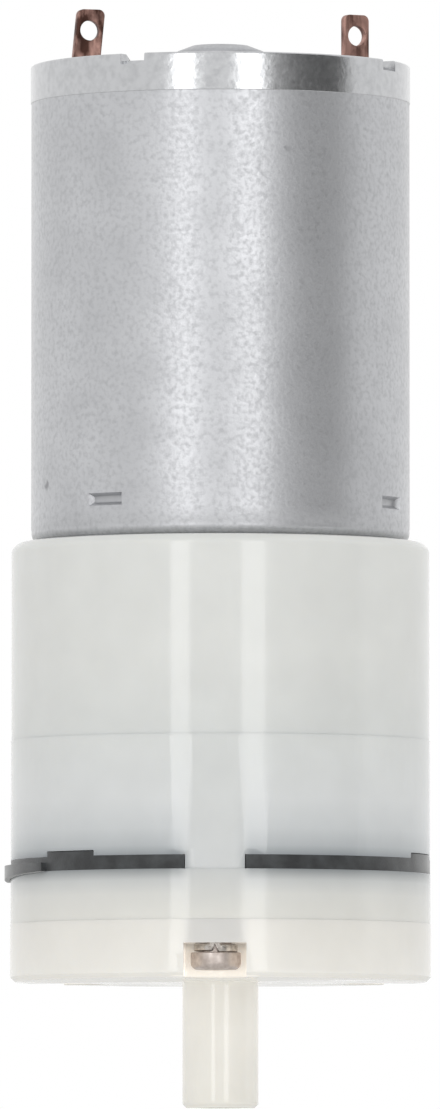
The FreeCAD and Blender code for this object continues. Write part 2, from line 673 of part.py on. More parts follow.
def cup_seat():
    """Clear ring block with a bore for each cup and a lug that locates the flange at each screw."""
    body = rod(SEAT_R, SEAT_BOTTOM, CASE_BOTTOM)
    lugs = around(lug_plan(LUG_WIDTH, FLANGE_BOTTOM, SEAT_BOTTOM + FIT_GAP), SCREW_AZIMUTHS)
    skin = rod(SEAT_R, FLANGE_BOTTOM, SEAT_BOTTOM + FIT_GAP)
    body = joined([body] + [lug.common(skin) for lug in lugs])
    bore = rod(CUP_BORE_R, SEAT_BOTTOM - 1, CASE_BOTTOM + 1, at(CUP_CIRCLE_R, 0))
    body = body.cut(around(bore, CUP_AZIMUTHS))
    half_angle = KEY_HALF_ANGLE + math.degrees(FIT_GAP / SEAT_R)
    key = key_sector(half_angle, FIT_GAP, SEAT_R + 1, SEAT_BOTTOM - 1, SEAT_BOTTOM + KEY_HEIGHT + FIT_GAP)
    body = body.cut(around(key, KEY_AZIMUTHS))
    return body.cut(screw_holes(SCREW_R + HOLE_CLEARANCE, FLANGE_BOTTOM - 1, CASE_BOTTOM + 1))


def cup(azimuth):
    """Outside and inside of one cup: an upright barrel, and a crown that leans with the plate."""
    centre = at(CUP_CIRCLE_R, azimuth)
    fold = SEAT_BOTTOM + CUP_FOLD_HEIGHT
    crown = over_pivot(COLLAR_LOW - FIT_GAP)
    barrel = rod(CUP_INNER_R + CUP_WALL, FLANGE_BOTTOM, fold, centre)
    outside = barrel.fuse(tilted(rod(CUP_INNER_R, fold - CUP_WALL, crown, centre)))
    hollow = rod(CUP_INNER_R, FLANGE_BOTTOM - 1, fold - CUP_WALL, centre)
    roof = rod(CUP_INNER_R - CUP_WALL, fold - 2 * CUP_WALL, crown - CUP_CROWN_THICKNESS, centre)
    return outside, hollow.fuse(tilted(roof))


def inlet_tongue(azimuth):
    """Flap of the same rubber that closes one inlet hole from inside the cup."""
    tip = CUP_CIRCLE_R - TONGUE_PAST_CENTRE
    root = CUP_CIRCLE_R + CUP_INNER_R + CUP_WALL / 2
    low = FLANGE_BOTTOM + PRESS_GAP
    return turned_to(slab(TONGUE_WIDTH, tip, root, low, low + TONGUE_THICKNESS), azimuth)


def cup_stem(azimuth):
    """Stem through the wobble plate's arm, with a knob that keeps it there."""
    root = over_pivot(COLLAR_LOW - FIT_GAP) - CUP_CROWN_THICKNESS / 2
    seat = over_pivot(ARM_PLATE_HIGH) + FIT_GAP
    centre = at(CUP_CIRCLE_R, azimuth)
    stem = rod(STEM_R, root, seat, centre)
    return tilted(stem.fuse(rod(KNOB_R, seat, seat + KNOB_HEIGHT, centre)))


def below_ear(start):
    """Room under the ear's lip, whose underside slopes down from its front end."""
    corner = Vector(-2 * HEAD_R, start.y - 1, start.z - 2)
    block = Part.makeBox(2 * HEAD_R, 2 * HEAD_R, 2, corner)
    return block.rotated(start, Vector(1, 0, 0), -EAR_SLOPE)


def diaphragm():
    """One rubber moulding: flange with keys and an ear, three cups, their stems and inlet tongues."""
    lug = lug_plan(LUG_WIDTH + 2 * LUG_GAP, FLANGE_BOTTOM - 1, SEAT_BOTTOM + 1)
    body = rod(SEAT_R, FLANGE_BOTTOM, SEAT_BOTTOM).cut(around(lug, SCREW_AZIMUTHS))
    key = key_sector(KEY_HALF_ANGLE, 0, SEAT_R, SEAT_BOTTOM - FIT_GAP, SEAT_BOTTOM + KEY_HEIGHT)
    ear_r = SEAT_R + EAR_PROUD
    middle = (SEAT_BOTTOM + FLANGE_BOTTOM) / 2
    sweep = 2 * EAR_HALF_ANGLE
    ear = ring(SEAT_R - KEY_DEPTH, ear_r, FLANGE_BOTTOM, FLANGE_BOTTOM + EAR_RISE, EAR_AZIMUTH, sweep)
    lip = ring(VALVE_PLATE_R + PRESS_GAP, ear_r, FLANGE_BOTTOM - EAR_DROP, middle, EAR_AZIMUTH, sweep)
    lip = lip.cut(below_ear(at(ear_r, EAR_AZIMUTH + EAR_HALF_ANGLE, FLANGE_BOTTOM)))
    pieces = [body, ear, lip] + around(key, KEY_AZIMUTHS)
    hollows = []
    for azimuth in CUP_AZIMUTHS:
        outside, inside = cup(azimuth)
        pieces += [outside, cup_stem(azimuth)]
        hollows.append(inside)
    moulding = joined(pieces).cut(hollows)
    return joined([moulding] + [inlet_tongue(azimuth) for azimuth in CUP_AZIMUTHS])


def valve_plate():
    """Clear disc with an inlet and an outlet hole for each cup, and the outlet valve's seat."""
    plate = rod(VALVE_PLATE_R, VALVE_PLATE_BOTTOM, FLANGE_BOTTOM)
    low = VALVE_PLATE_BOTTOM - 1
    high = FLANGE_BOTTOM + 1
    holes = screw_holes(SCREW_R + HOLE_CLEARANCE, low, high)
    holes += around(rod(OUTLET_HOLE_R, low, high, at(OUTLET_HOLE_CIRCLE_R, 0)), CUP_AZIMUTHS)
    holes += around(rod(INLET_HOLE_R, low, high, at(INLET_CIRCLE_R, 0)), CUP_AZIMUTHS)
    holes.append(rod(VALVE_STEM_R + FIT_GAP, low, high))
    holes.append(rod(BULB_POCKET_R, FLANGE_BOTTOM - BULB_POCKET_DEPTH, high))
    return plate.cut(holes)


def outlet_valve():
    """Rubber umbrella on the nozzle's side of the plate, over all three outlet holes."""
    seat = VALVE_PLATE_BOTTOM - PRESS_GAP
    bulb = FLANGE_BOTTOM - BULB_POCKET_DEPTH + PRESS_GAP
    flap = rod(OUTLET_FLAP_R, seat - OUTLET_FLAP_THICKNESS, seat)
    stem = rod(VALVE_STEM_R, seat, bulb)
    return joined([flap, stem, rod(VALVE_BULB_R, bulb, bulb + VALVE_BULB_HEIGHT)])


def seal_ring():
    """Rubber ring squeezed in its groove round the outlet chamber."""
    half = RING_WIDTH / 2 - PRESS_GAP
    low = VALVE_PLATE_BOTTOM - RING_GROOVE_DEPTH + PRESS_GAP
    return ring(SEAL_RING_R - half, SEAL_RING_R + half, low, VALVE_PLATE_BOTTOM - PRESS_GAP)


def nozzle_cover():
    """Clear end cover: air chambers, seal groove, screw pockets, and the outlet nozzle."""
    top = VALVE_PLATE_BOTTOM
    body = turned([
        (NOZZLE_BORE_R, top),
        (COVER_R, top),
        (COVER_R, COVER_BOTTOM + COVER_CHAMFER),
        (COVER_R - COVER_CHAMFER, COVER_BOTTOM),
        (NOZZLE_R, COVER_BOTTOM),
        (NOZZLE_R, NOZZLE_TIP + NOZZLE_TIP_CHAMFER),
        (NOZZLE_R - NOZZLE_TIP_CHAMFER, NOZZLE_TIP),
        (NOZZLE_BORE_R, NOZZLE_TIP),
    ])
    cuts = [
        rod(OUTLET_CHAMBER_R, top - OUTLET_CHAMBER_DEPTH, top + 1),
        ring(GALLERY_INNER_R, GALLERY_OUTER_R, top - GALLERY_DEPTH, top + 1),
    ]
    half = RING_WIDTH / 2
    cuts.append(ring(SEAL_RING_R - half, SEAL_RING_R + half, top - RING_GROOVE_DEPTH, top + 1))
    cuts += screw_holes(SCREW_R + HOLE_CLEARANCE, COVER_BOTTOM - 1, top + 1)
    cuts += around(lug_plan(POCKET_WIDTH, COVER_BOTTOM - 1, POCKET_CEILING), SCREW_AZIMUTHS)
    port_level = top - GALLERY_DEPTH + INLET_PORT_RISE + INLET_PORT_R
    port_start = at(GALLERY_OUTER_R - INLET_PORT_R, 0, port_level)
    port = Part.makeCylinder(INLET_PORT_R, COVER_R, port_start, Vector(0, -1, 0))
    cuts.append(turned_to(port, INLET_PORT_AZIMUTH))
    return body.cut(cuts)


def head_screws():
    """Three long screws up through the whole stack."""
    low = SCREW_SEAT - SCREW_HEAD_HEIGHT
    screw = turned([
        (0, low),
        (SCREW_HEAD_R - SCREW_HEAD_CHAMFER, low),
        (SCREW_HEAD_R, low + SCREW_HEAD_CHAMFER),
        (SCREW_HEAD_R, SCREW_SEAT),
        (SCREW_R, SCREW_SEAT),
        (SCREW_R, SCREW_TOP),
        (0, SCREW_TOP),
    ])
    return Part.makeCompound(around(screw.translated(at(SCREW_CIRCLE_R, 0)), SCREW_AZIMUTHS))


def lock_washers():
    """Split spring washers under the screw heads, with the split outwards."""
    washer = ring(SCREW_R + FIT_GAP, LOCK_WASHER_R, SCREW_SEAT, POCKET_CEILING)
    washer = washer.cut(slab(LOCK_WASHER_SPLIT, 0, LOCK_WASHER_R + 1, SCREW_SEAT - 1, POCKET_CEILING + 1))
    return Part.makeCompound(around(washer.translated(at(SCREW_CIRCLE_R, 0)), SCREW_AZIMUTHS))


def motor_nodes():
    """Motor parts that stand still, clocked with the can."""
    nodes = {
        "motor_can": motor_can(),
        "end_plate": end_plate(),
        "brush_holder": brush_holder(),
        "brush_arm_positive": brush_arm(TERMINAL_AZIMUTHS["terminal_positive"]),
        "brush_arm_negative": brush_arm(TERMINAL_AZIMUTHS["terminal_negative"]),
        "carbon_brush_positive": carbon_brush(180),
        "carbon_brush_negative": carbon_brush(0),
        "magnet_clip": magnet_clip(),
    }
    for name, azimuth in TERMINAL_AZIMUTHS.items():
        nodes[name] = terminal(azimuth, TERMINAL_TWIST_ANGLES[name], TERMINAL_LEAN_ANGLES[name])
    for name, azimuth in MAGNET_AZIMUTHS.items():
        nodes[name] = magnet(azimuth)
    nodes = {name: turned_to(shape, MOTOR_CLOCK) for name, shape in nodes.items()}
    boss_end = JOINT - FRONT_BOSS_HEIGHT
    nodes["front_bearing"] = bearing(BEARING_R, boss_end, boss_end + BEARING_LENGTH)
    nodes["rear_bearing"] = bearing(REAR_BEARING_R, REAR_BEARING_TOP - REAR_BEARING_LENGTH, REAR_BEARING_TOP)
    return nodes


def rotor_nodes():
    """Everything that turns with the shaft."""
    nodes = {
        "rotor_shaft": shaft(),
        "rotor_core": rotor_core(),
        "insulator_front": pole_star(STACK_BOTTOM - INSULATOR_THICKNESS, STACK_BOTTOM),
        "insulator_rear": pole_star(STACK_TOP, STACK_TOP + INSULATOR_THICKNESS),
        "commutator_hub": commutator_hub(),
        "front_spacer": front_spacer(),
        "thrust_washer": thrust_washer(),
        "crank_hub": crank_hub(),
        "crank_pin": crank_pin(),
    }
    for number, azimuth in enumerate(POLE_AZIMUTHS, start=1):
        nodes[f"rotor_coil_{number}"] = rotor_coil(azimuth)
        nodes[f"commutator_bar_{number}"] = commutator_bar(azimuth)
    return nodes


def head_nodes():
    """The pump head, from the crank case down to the nozzle."""
    return {
        "crank_case": crank_case(),
        "motor_screws": motor_screws(),
        "wobble_plate": wobble_plate(),
        "cup_seat": cup_seat(),
        "diaphragm": diaphragm(),
        "valve_plate": valve_plate(),
        "outlet_valve": outlet_valve(),
        "seal_ring": seal_ring(),
        "nozzle_cover": nozzle_cover(),
        "head_screws": head_screws(),
        "lock_washers": lock_washers(),
    }


def main():
    os.makedirs("parts", exist_ok=True)
    for nodes in (motor_nodes(), rotor_nodes(), head_nodes()):
        for name, shape in nodes.items():
            shape.exportStep(f"parts/{name}.step")


main()
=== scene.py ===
import math

import bmesh
import bpy
from mathutils import Matrix, Vector


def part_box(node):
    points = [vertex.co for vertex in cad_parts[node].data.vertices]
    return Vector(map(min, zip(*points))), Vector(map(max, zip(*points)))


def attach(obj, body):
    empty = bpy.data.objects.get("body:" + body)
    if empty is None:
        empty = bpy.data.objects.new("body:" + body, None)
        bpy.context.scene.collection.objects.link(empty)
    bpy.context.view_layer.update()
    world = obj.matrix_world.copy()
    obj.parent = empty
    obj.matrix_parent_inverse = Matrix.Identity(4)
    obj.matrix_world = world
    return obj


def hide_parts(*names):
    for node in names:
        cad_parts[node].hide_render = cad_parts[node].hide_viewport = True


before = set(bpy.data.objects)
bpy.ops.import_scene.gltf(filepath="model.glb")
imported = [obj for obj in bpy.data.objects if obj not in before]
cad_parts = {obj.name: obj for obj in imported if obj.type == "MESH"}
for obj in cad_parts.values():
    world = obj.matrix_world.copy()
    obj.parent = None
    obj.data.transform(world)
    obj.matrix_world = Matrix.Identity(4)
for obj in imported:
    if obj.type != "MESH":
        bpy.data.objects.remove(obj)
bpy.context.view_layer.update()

# Looks of a small three-cup diaphragm air pump: steel can motor above, clear moulded head below.
# Sizes here are in millimetres and turned to metres by MM. Levels and radii come from the frame.
# An azimuth is counted about Z from the front (-Y) towards +X, in degrees.
MM = 0.001

# Plain words for the kinds of node that are used most
SPECKLE = "ShaderNodeTexNoise"
SPREAD = "ShaderNodeMapRange"
BLEND = "ShaderNodeMix"
RELIEF = "ShaderNodeBump"
MATHS = "ShaderNodeMath"

# Corners closer than WELD become one, and a cut takes a corner within GRAZE as its own. HAIR
# keeps two edge loops apart and is the play with which a radius is compared.
WELD = 1e-7
GRAZE = 1e-8
HAIR = 0.01 * MM
SHARP_ANGLE = math.radians(30)
FLAT_ANGLE = math.radians(0.5)

# Frame levels and radii. The cover ends 0.5 mm below the screw heads.
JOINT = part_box("crank_case")[1].z
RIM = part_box("motor_can")[1].z
CAN_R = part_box("motor_can")[1].x
CAN_BORE_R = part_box("end_plate")[1].x
BEARING_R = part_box("front_bearing")[1].x
BOSS_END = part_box("motor_can")[0].z
SEAT_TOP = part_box("cup_seat")[1].z
FLANGE_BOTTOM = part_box("valve_plate")[1].z
COVER_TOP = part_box("seal_ring")[1].z
COVER_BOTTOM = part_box("head_screws")[0].z - 0.5 * MM
SCREW_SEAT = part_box("lock_washers")[0].z
POCKET_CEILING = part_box("lock_washers")[1].z
NOZZLE_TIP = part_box("nozzle_cover")[0].z
SCREW_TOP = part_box("head_screws")[1].z

# Can details
CORNER_ROUND = 0.6 * MM
CORNER_STEPS = 8
BAND_HEIGHT = 2.4 * MM
BAND_STEP = 0.04 * MM
BAND_SLOPE = 0.04 * MM
BAND_FADE = 0.05 * MM
RIM_ROUND = 0.15 * MM
RIM_STEPS = 4
STAKE_REACH = 0.6 * MM
STAKE_DEPTH = 0.45 * MM
STAKE_HEIGHT = 0.05 * MM
STAKE_LAND = 0.03 * MM
CREASE_RISE = 0.9 * MM
CREASE_DEPTH = 0.02 * MM
CREASE_SLOPE = 0.1 * MM
FRONT_WALL = 1.0 * MM
BOSS_R = 3.05 * MM
NOTCH_DEPTH = 0.7 * MM
PLATE_INSET = 0.5 * MM
NOTCH_HALF_WIDTH = 0.85 * MM
NOTCH_EDGE = 0.02 * MM
NOTCH_AZIMUTHS = (64, 154, 244, 334)
DENT_RISE = 2.35 * MM
DENT_HALF_HEIGHT = 0.4 * MM
DENT_HALF_WIDTH = 1.35 * MM
DENT_DEPTH = 0.35 * MM
DENT_SLOPE = 0.2 * MM
DENT_LIP = 0.08 * MM
DENT_AZIMUTHS = (-36, 66, 144, 246)
# A face whose middle is within this of CAN_R belongs to the can's outer wall
WALL_SKIN = 0.1 * MM
TURNS = 288

# Edge rounds of the dressed copies of CAD nodes, in millimetres
PLATE_EDGE = 0.22
HOLDER_EDGE = 0.12
TAB_EDGE = 0.05
CASE_EDGE = 0.15
JOINT_EDGE = 0.006
COVER_EDGE = 0.14
FLANGE_EDGE = 0.14

# Distances from the axis past which edges are rounded, heights above a node's bottom between
# which they are, and heights where its wall gets an edge loop, all in millimetres
HEAD_OUTSIDE = 12.5
NOZZLE_OUTSIDE = 1.6
CASE_ROUNDED = (1, 99)
COVER_ROUNDED = (-1, 11.5)
CASE_CUTS = (12.0,)
SEAT_CUTS = (1.3, 1.4, 8.45)
PLATE_CUTS = (0.1, 3.1)
COVER_CUTS = (0.5, 7.85, 8.6, 10.4)

# Screws and their washers
SCREW_CIRCLE_R = 11.3 * MM
SCREW_AZIMUTHS = (0, 120, 240)
SCREW_R = 1.0 * MM
SCREW_TIP = 0.3 * MM
SCREW_TURNS = 48
SCREW_HEAD_R = 1.6 * MM
SCREW_HEAD_HEIGHT = 1.1 * MM
SCREW_HEAD_ROUND = 0.42 * MM
SCREW_HEAD_STEPS = 6
SCREW_HEAD_EDGE = 0.05 * MM
RECESS_WIDTH = 0.38 * MM
RECESS_SPAN = 1.7 * MM
RECESS_DEPTH = 0.5 * MM
RECESS_TAPER = 0.05 * MM
RECESS_LAND = 0.1 * MM
WASHER_R = 1.4 * MM
WASHER_BORE_R = 1.05 * MM
WASHER_SPLIT = 8
WASHER_RISE = 0.1 * MM
WASHER_FLARE = 0.3 * MM
WASHER_EDGE = 0.08 * MM
WASHER_CORNER = math.radians(40)
WASHER_STEPS = 60

# Colours, as they look under plain white light. Some hold painted light or shade, as said where
# they are used.
ZINC = "#C6C7CA"
ZINC_DULL = "#B0B1B4"
ZINC_MARK = "#8A8B8E"
BAND_STEEL = "#C2C3C5"
BAND_WORN = "#B6B7B9"
PLATE_ZINC = "#BABBBE"
PLATE_ZINC_DULL = "#A3A4A7"
NYLON = "#DEDBD1"
NYLON_SHADED = "#D2CFC4"
COPPER = "#BE978C"
COPPER_TARNISH = "#553C35"
NICKEL = "#D2C8C2"
NICKEL_DARK = "#B7ABA4"
SPRING_DARK = "#A39C95"
SPRING_LIGHT = "#D8D3CE"
BLACK_RUBBER = "#202224"
RUBBER_DUST = "#3C3F41"
CASE_LOW = "#DADCDA"
CASE_MILK = "#E0E1DE"
CASE_TOP = "#E1E2DF"
SEAT_SHADED = "#989DA1"
PLATE_SHADED = "#909496"
PLATE_MILK = "#E4E3DD"
COVER_CREAM = "#EFEDE7"
# Painted light: the cover's bottom and the nozzle's root are painted paler, against the shade there
COVER_LIT_LOW = "#F4F2EC"
# The cover is a little darker towards its top
COVER_DARKER_TOP = "#E8E6E0"
# Painted shade over the cover's screw pockets
COVER_SHADED_OVER_SCREW = "#D8D7D4"
NOZZLE_CREAM = "#EAE8E1"
# Tint and strength of the painted glow in the cover's screw pockets
PAINTED_GLOW_TINT = "#F2E0CC"
POCKET_PAINTED_GLOW = 0.42

# Colours of each clear moulding by level, from low to high. Near the black flange they are
# painted darker, a painted shade for the rubber showing through, and over the screw lugs they
# aren't.
CASE_STOPS = [
    (SEAT_TOP, CASE_LOW),
    (SEAT_TOP + 5 * MM, CASE_MILK),
    (JOINT, CASE_TOP),
]
# Painted shade, darkest next to the black flange
SEAT_STOPS = [
    (FLANGE_BOTTOM + 0.9 * MM, SEAT_SHADED),
    (FLANGE_BOTTOM + 1.5 * MM, "#BBBFC1"),
    (FLANGE_BOTTOM + 2.6 * MM, "#CFD2D3"),
    (FLANGE_BOTTOM + 4.5 * MM, "#DBDDDD"),
    (SEAT_TOP, "#DDDFDD"),
]
SEAT_LUG_STOPS = [
    (FLANGE_BOTTOM - 0.1 * MM, "#D6D8D8"),
    (SEAT_TOP, CASE_LOW),
]
# Painted shade, darkest next to the black flange
PLATE_STOPS = [
    (COVER_TOP, PLATE_MILK),
    (FLANGE_BOTTOM - 1.6 * MM, "#DDDDD9"),
    (FLANGE_BOTTOM - 0.7 * MM, "#CBCDCC"),
    (FLANGE_BOTTOM, PLATE_SHADED),
]
PLATE_LUG_STOPS = [
    (COVER_TOP, PLATE_MILK),
    (FLANGE_BOTTOM, "#CFD1D0"),
]
# The nozzle's root and the cover's bottom are painted paler, a painted light
NOZZLE_STOPS = [
    (NOZZLE_TIP, NOZZLE_CREAM),
    (COVER_BOTTOM - 3 * MM, COVER_LIT_LOW),
    (COVER_BOTTOM, COVER_LIT_LOW),
]
COVER_STOPS = NOZZLE_STOPS + [
    (COVER_BOTTOM + 0.6 * MM, COVER_CREAM),
    (COVER_TOP, COVER_DARKER_TOP),
]
# Over the screw lugs the cover is painted darker, a painted shade over the screw pockets
COVER_LUG_STOPS = NOZZLE_STOPS + [
    (COVER_BOTTOM + 1.2 * MM, COVER_CREAM),
    (COVER_BOTTOM + 2.0 * MM, COVER_SHADED_OVER_SCREW),
    (COVER_TOP, COVER_SHADED_OVER_SCREW),
]


def linear(code):
    """Linear colour of an sRGB hex code."""
    parts = [int(code[i:i + 2], 16) / 255 for i in (1, 3, 5)]
    return [c / 12.92 if c <= 0.04045 else ((c + 0.055) / 1.055) ** 2.4 for c in parts] + [1.0]


def add(tree, kind, inputs=None, **settings):
    """Adds a node, sets its properties, then sets or links its inputs by name or number.

    An input is a value, an sRGB hex code or another node's output.
    """
    node = tree.nodes.new(kind)
    for name, value in settings.items():
        setattr(node, name, value)
    for key, value in (inputs or {}).items():
        if isinstance(value, bpy.types.NodeSocket):
            tree.links.new(value, node.inputs[key])
        else:
            node.inputs[key].default_value = linear(value) if isinstance(value, str) else value
    return node


def new_material(name):
    """Empty material with its tree and the object's own coordinates."""
    material = bpy.data.materials.new(name)
    material.use_nodes = True
    tree = material.node_tree
    tree.nodes.clear()
    place = add(tree, "ShaderNodeTexCoord").outputs["Object"]
    return material, tree, place


def finished(material, kind, inputs):
    """The material, with a surface made by a shader of a kind."""
    tree = material.node_tree
    shader = add(tree, kind, inputs)
    add(tree, "ShaderNodeOutputMaterial", {"Surface": shader.outputs[0]})
    return material


def zinc_plated_steel():
    """Deep-drawn zinc-plated sheet.

    It looks dull, with a fine grain, and bright on the rim that staking has burnished. The real
    grain is too fine to show, so it is drawn 0.3 mm coarse.
    """
    material, tree, place = new_material("drawn_zinc_plated_steel")
    level = add(tree, "ShaderNodeSeparateXYZ", {0: place}).outputs["Z"]
    band = RIM - BAND_HEIGHT
    burnished = add(tree, SPREAD, {0: level, 1: band - BAND_FADE, 2: band}).outputs[0]
    grain = add(tree, SPECKLE, {"Vector": place, "Scale": 1 / (0.3 * MM), "Detail": 4.0}).outputs[0]
    dimple = add(tree, SPECKLE, {"Vector": place, "Scale": 1 / (0.5 * MM)}).outputs[0]
    cloud = add(tree, SPECKLE, {"Vector": place, "Scale": 1 / (4.0 * MM)}).outputs[0]
    clouded = add(tree, SPREAD, {0: cloud, 1: 0.3, 2: 0.7, 3: 0.5, 4: 1.0}).outputs[0]
    clear = add(tree, SPREAD, {0: grain, 1: 0.2, 2: 0.55}).outputs[0]
    colour = ZINC
    for mask, under in ((clouded, ZINC_DULL), (clear, ZINC_DULL), (nick(tree, place), ZINC_MARK)):
        layer = {0: mask, 6: under, 7: colour}
        colour = add(tree, BLEND, layer, data_type="RGBA").outputs[2]
    unworn = add(tree, SPREAD, {0: dimple, 1: 0.3, 2: 0.6}).outputs[0]
    rim = add(tree, BLEND, {0: unworn, 6: BAND_WORN, 7: BAND_STEEL}, data_type="RGBA").outputs[2]
    # Painted shade in the dents, then the burnished rim band's steel over all
    for mask, over in ((dent_painted_shade(tree, place, level), ZINC_DULL), (burnished, rim)):
        layer = {0: mask, 6: colour, 7: over}
        colour = add(tree, BLEND, layer, data_type="RGBA").outputs[2]
    dull = add(tree, SPREAD, {0: grain, 1: 0.3, 2: 0.7, 3: 0.5, 4: 0.34}).outputs[0]
    bright = add(tree, SPREAD, {0: grain, 1: 0.3, 2: 0.7, 3: 0.24, 4: 0.12}).outputs[0]
    strength = add(tree, SPREAD, {0: burnished, 3: 0.7, 4: 0.4}).outputs[0]
    relief = {"Height": grain, "Distance": 0.02 * MM, "Strength": strength}
    normal = add(tree, RELIEF, relief).outputs[0]
    return finished(material, "ShaderNodeBsdfPrincipled", {
        "Base Color": colour,
        "Metallic": add(tree, SPREAD, {0: burnished, 3: 0.8, 4: 1.0}).outputs[0],
        "Roughness": add(tree, BLEND, {0: burnished, 2: dull, 3: bright}).outputs[0],
        "Normal": normal,
        "Coat Weight": 0.5,
        "Coat Roughness": 0.22,
        "Coat Normal": normal,
    })


def dent_painted_shade(tree, place, level):
    """1 in the pressed dents, where shade is painted, 0 elsewhere."""
    radius = from_axis(tree, place)
    deep = add(tree, SPREAD, {0: radius, 1: CAN_R - 0.1 * MM, 2: CAN_R - 0.25 * MM}).outputs[0]
    dent = JOINT + DENT_RISE
    low = dent - 2 * DENT_HALF_HEIGHT
    above = add(tree, SPREAD, {0: level, 1: low, 2: dent - 1.5 * DENT_HALF_HEIGHT}).outputs[0]
    return add(tree, MATHS, {0: deep, 1: above}, operation="MULTIPLY").outputs[0]


def nick(tree, place):
    """0 in a few small handling marks with uneven edges, 1 elsewhere."""
    warp = add(tree, SPECKLE, {"Vector": place, "Scale": 1 / (0.5 * MM)}).outputs["Color"]
    shift = add(tree, "ShaderNodeVectorMath", {0: warp, 3: 0.5 * MM}, operation="SCALE").outputs[0]
    bent = add(tree, "ShaderNodeVectorMath", {0: place, 1: shift}, operation="ADD").outputs[0]
    cells = add(tree, "ShaderNodeTexVoronoi", {"Vector": bent, "Scale": 1 / (7.0 * MM)})
    return add(tree, SPREAD, {0: cells.outputs["Distance"], 1: 0.03, 2: 0.06}).outputs[0]


def pressed_zinc_steel():
    """Pressed plate with the same zinc plating, which looks evenly dull."""
    material, tree, place = new_material("pressed_zinc_plated_steel")
    grain = add(tree, SPECKLE, {"Vector": place, "Scale": 1 / (0.2 * MM), "Detail": 3.0}).outputs[0]
    tone = {0: grain, 6: PLATE_ZINC_DULL, 7: PLATE_ZINC}
    return finished(material, "ShaderNodeBsdfPrincipled", {
        "Base Color": add(tree, BLEND, tone, data_type="RGBA").outputs[2],
        "Metallic": 1.0,
        "Roughness": add(tree, SPREAD, {0: grain, 1: 0.3, 2: 0.7, 3: 0.45, 4: 0.32}).outputs[0],
        "Normal": add(tree, RELIEF, {"Height": grain, "Distance": 0.01 * MM}).outputs[0],
    })


def milk_plastic(name, stops, lug_stops=None, glow=None):
    """Natural injection-moulded plastic: milky, glossy, with painted shade over dark parts behind
    it.

    stops lists (level, colour) from low to high. Over the three screw lugs, where no rubber
    lies behind, lug_stops hold instead. Glow, if given, gives the strength of a painted glow on
    its walls, in place of light carried through from behind.
    """
    material, tree, place = new_material(name)
    axes = add(tree, "ShaderNodeSeparateXYZ", {0: place})
    # The stops paint shade and light into the colour by level
    colour = by_level(tree, axes.outputs["Z"], stops)
    if lug_stops:
        clear = by_level(tree, axes.outputs["Z"], lug_stops)
        edge = {0: lug_wave(tree, axes), 1: 0.86, 2: 0.97}
        lug = add(tree, SPREAD, edge, interpolation_type="SMOOTHSTEP").outputs[0]
        colour = add(tree, BLEND, {0: lug, 6: colour, 7: clear}, data_type="RGBA").outputs[2]
    cloud = add(tree, SPECKLE, {"Vector": place, "Scale": 1 / (3.0 * MM)}).outputs[0]
    tint = add(tree, SPREAD, {0: cloud, 1: 0.3, 2: 0.7, 3: 0.975, 4: 1.02}).outputs[0]
    colour = add(tree, "ShaderNodeVectorMath", {0: colour, 3: tint}, operation="SCALE").outputs[0]
    wave = {"Vector": place, "Scale": 1 / (1.4 * MM), "Detail": 1.0}
    ripple = add(tree, SPECKLE, wave).outputs[0]
    inputs = {
        "Base Color": colour,
        "Roughness": add(tree, SPREAD, {0: cloud, 1: 0.3, 2: 0.7, 3: 0.07, 4: 0.12}).outputs[0],
        "IOR": 1.49,
        "Subsurface Weight": 0.3,
        "Subsurface Radius": (1.0, 0.95, 0.85),
        "Subsurface Scale": 0.5 * MM,
        "Normal": add(tree, RELIEF, {"Height": ripple, "Distance": 0.003 * MM}).outputs[0],
    }
    # Painted glow: the walls give off light of their own where light through the plastic would come
    if glow:
        warm = {0: 0.5, 6: colour, 7: PAINTED_GLOW_TINT}
        inputs["Emission Color"] = add(tree, BLEND, warm, data_type="RGBA").outputs[2]
        inputs["Emission Strength"] = glow(tree, place, axes)
    return finished(material, "ShaderNodeBsdfPrincipled", inputs)


def painted_glow(tree, place, axes):
    """Painted glow in the screw pockets and down the nozzle, in place of light that the clear cover
    carries.

    In a pocket it starts at the cover's bottom and fades at the ceiling, and it stays between
    the lug's sides, inside the outer wall and outside the core.
    """
    radius = from_axis(tree, place)
    level = axes.outputs["Z"]
    low = COVER_BOTTOM
    high = POCKET_CEILING
    rise = {0: level, 1: low + 0.02 * MM, 2: low + 0.12 * MM, 4: POCKET_PAINTED_GLOW}
    ceiling = {0: level, 1: high - 0.5 * MM, 2: high - 0.1 * MM, 3: 1.0, 4: 0.4}
    sides = {0: lug_wave(tree, axes), 1: 0.777, 2: 0.839}
    wall = {0: radius, 1: CAN_R + 1.2 * MM, 2: CAN_R + 1.1 * MM}
    core = {0: radius, 1: 8.5 * MM, 2: 9.0 * MM}
    pocket = add(tree, SPREAD, rise).outputs[0]
    for limit in (ceiling, sides, wall, core):
        mask = add(tree, SPREAD, limit).outputs[0]
        pocket = add(tree, MATHS, {0: pocket, 1: mask}, operation="MULTIPLY").outputs[0]
    root = add(tree, SPREAD, {0: level, 1: low - 6 * MM, 2: low, 3: 0.05, 4: 0.13}).outputs[0]
    near = add(tree, SPREAD, {0: radius, 1: 2.6 * MM, 2: 3.0 * MM, 3: 1.0, 4: 0.2}).outputs[0]
    nozzle = add(tree, MATHS, {0: root, 1: near}, operation="MULTIPLY").outputs[0]
    return add(tree, MATHS, {0: pocket, 1: nozzle}, operation="MAXIMUM").outputs[0]


def from_axis(tree, place):
    """Distance from the Z axis."""
    flat = add(tree, "ShaderNodeVectorMath", {0: place, 1: (1, 1, 0)}, operation="MULTIPLY")
    across = add(tree, "ShaderNodeVectorMath", {0: flat.outputs[0]}, operation="LENGTH")
    return across.outputs["Value"]


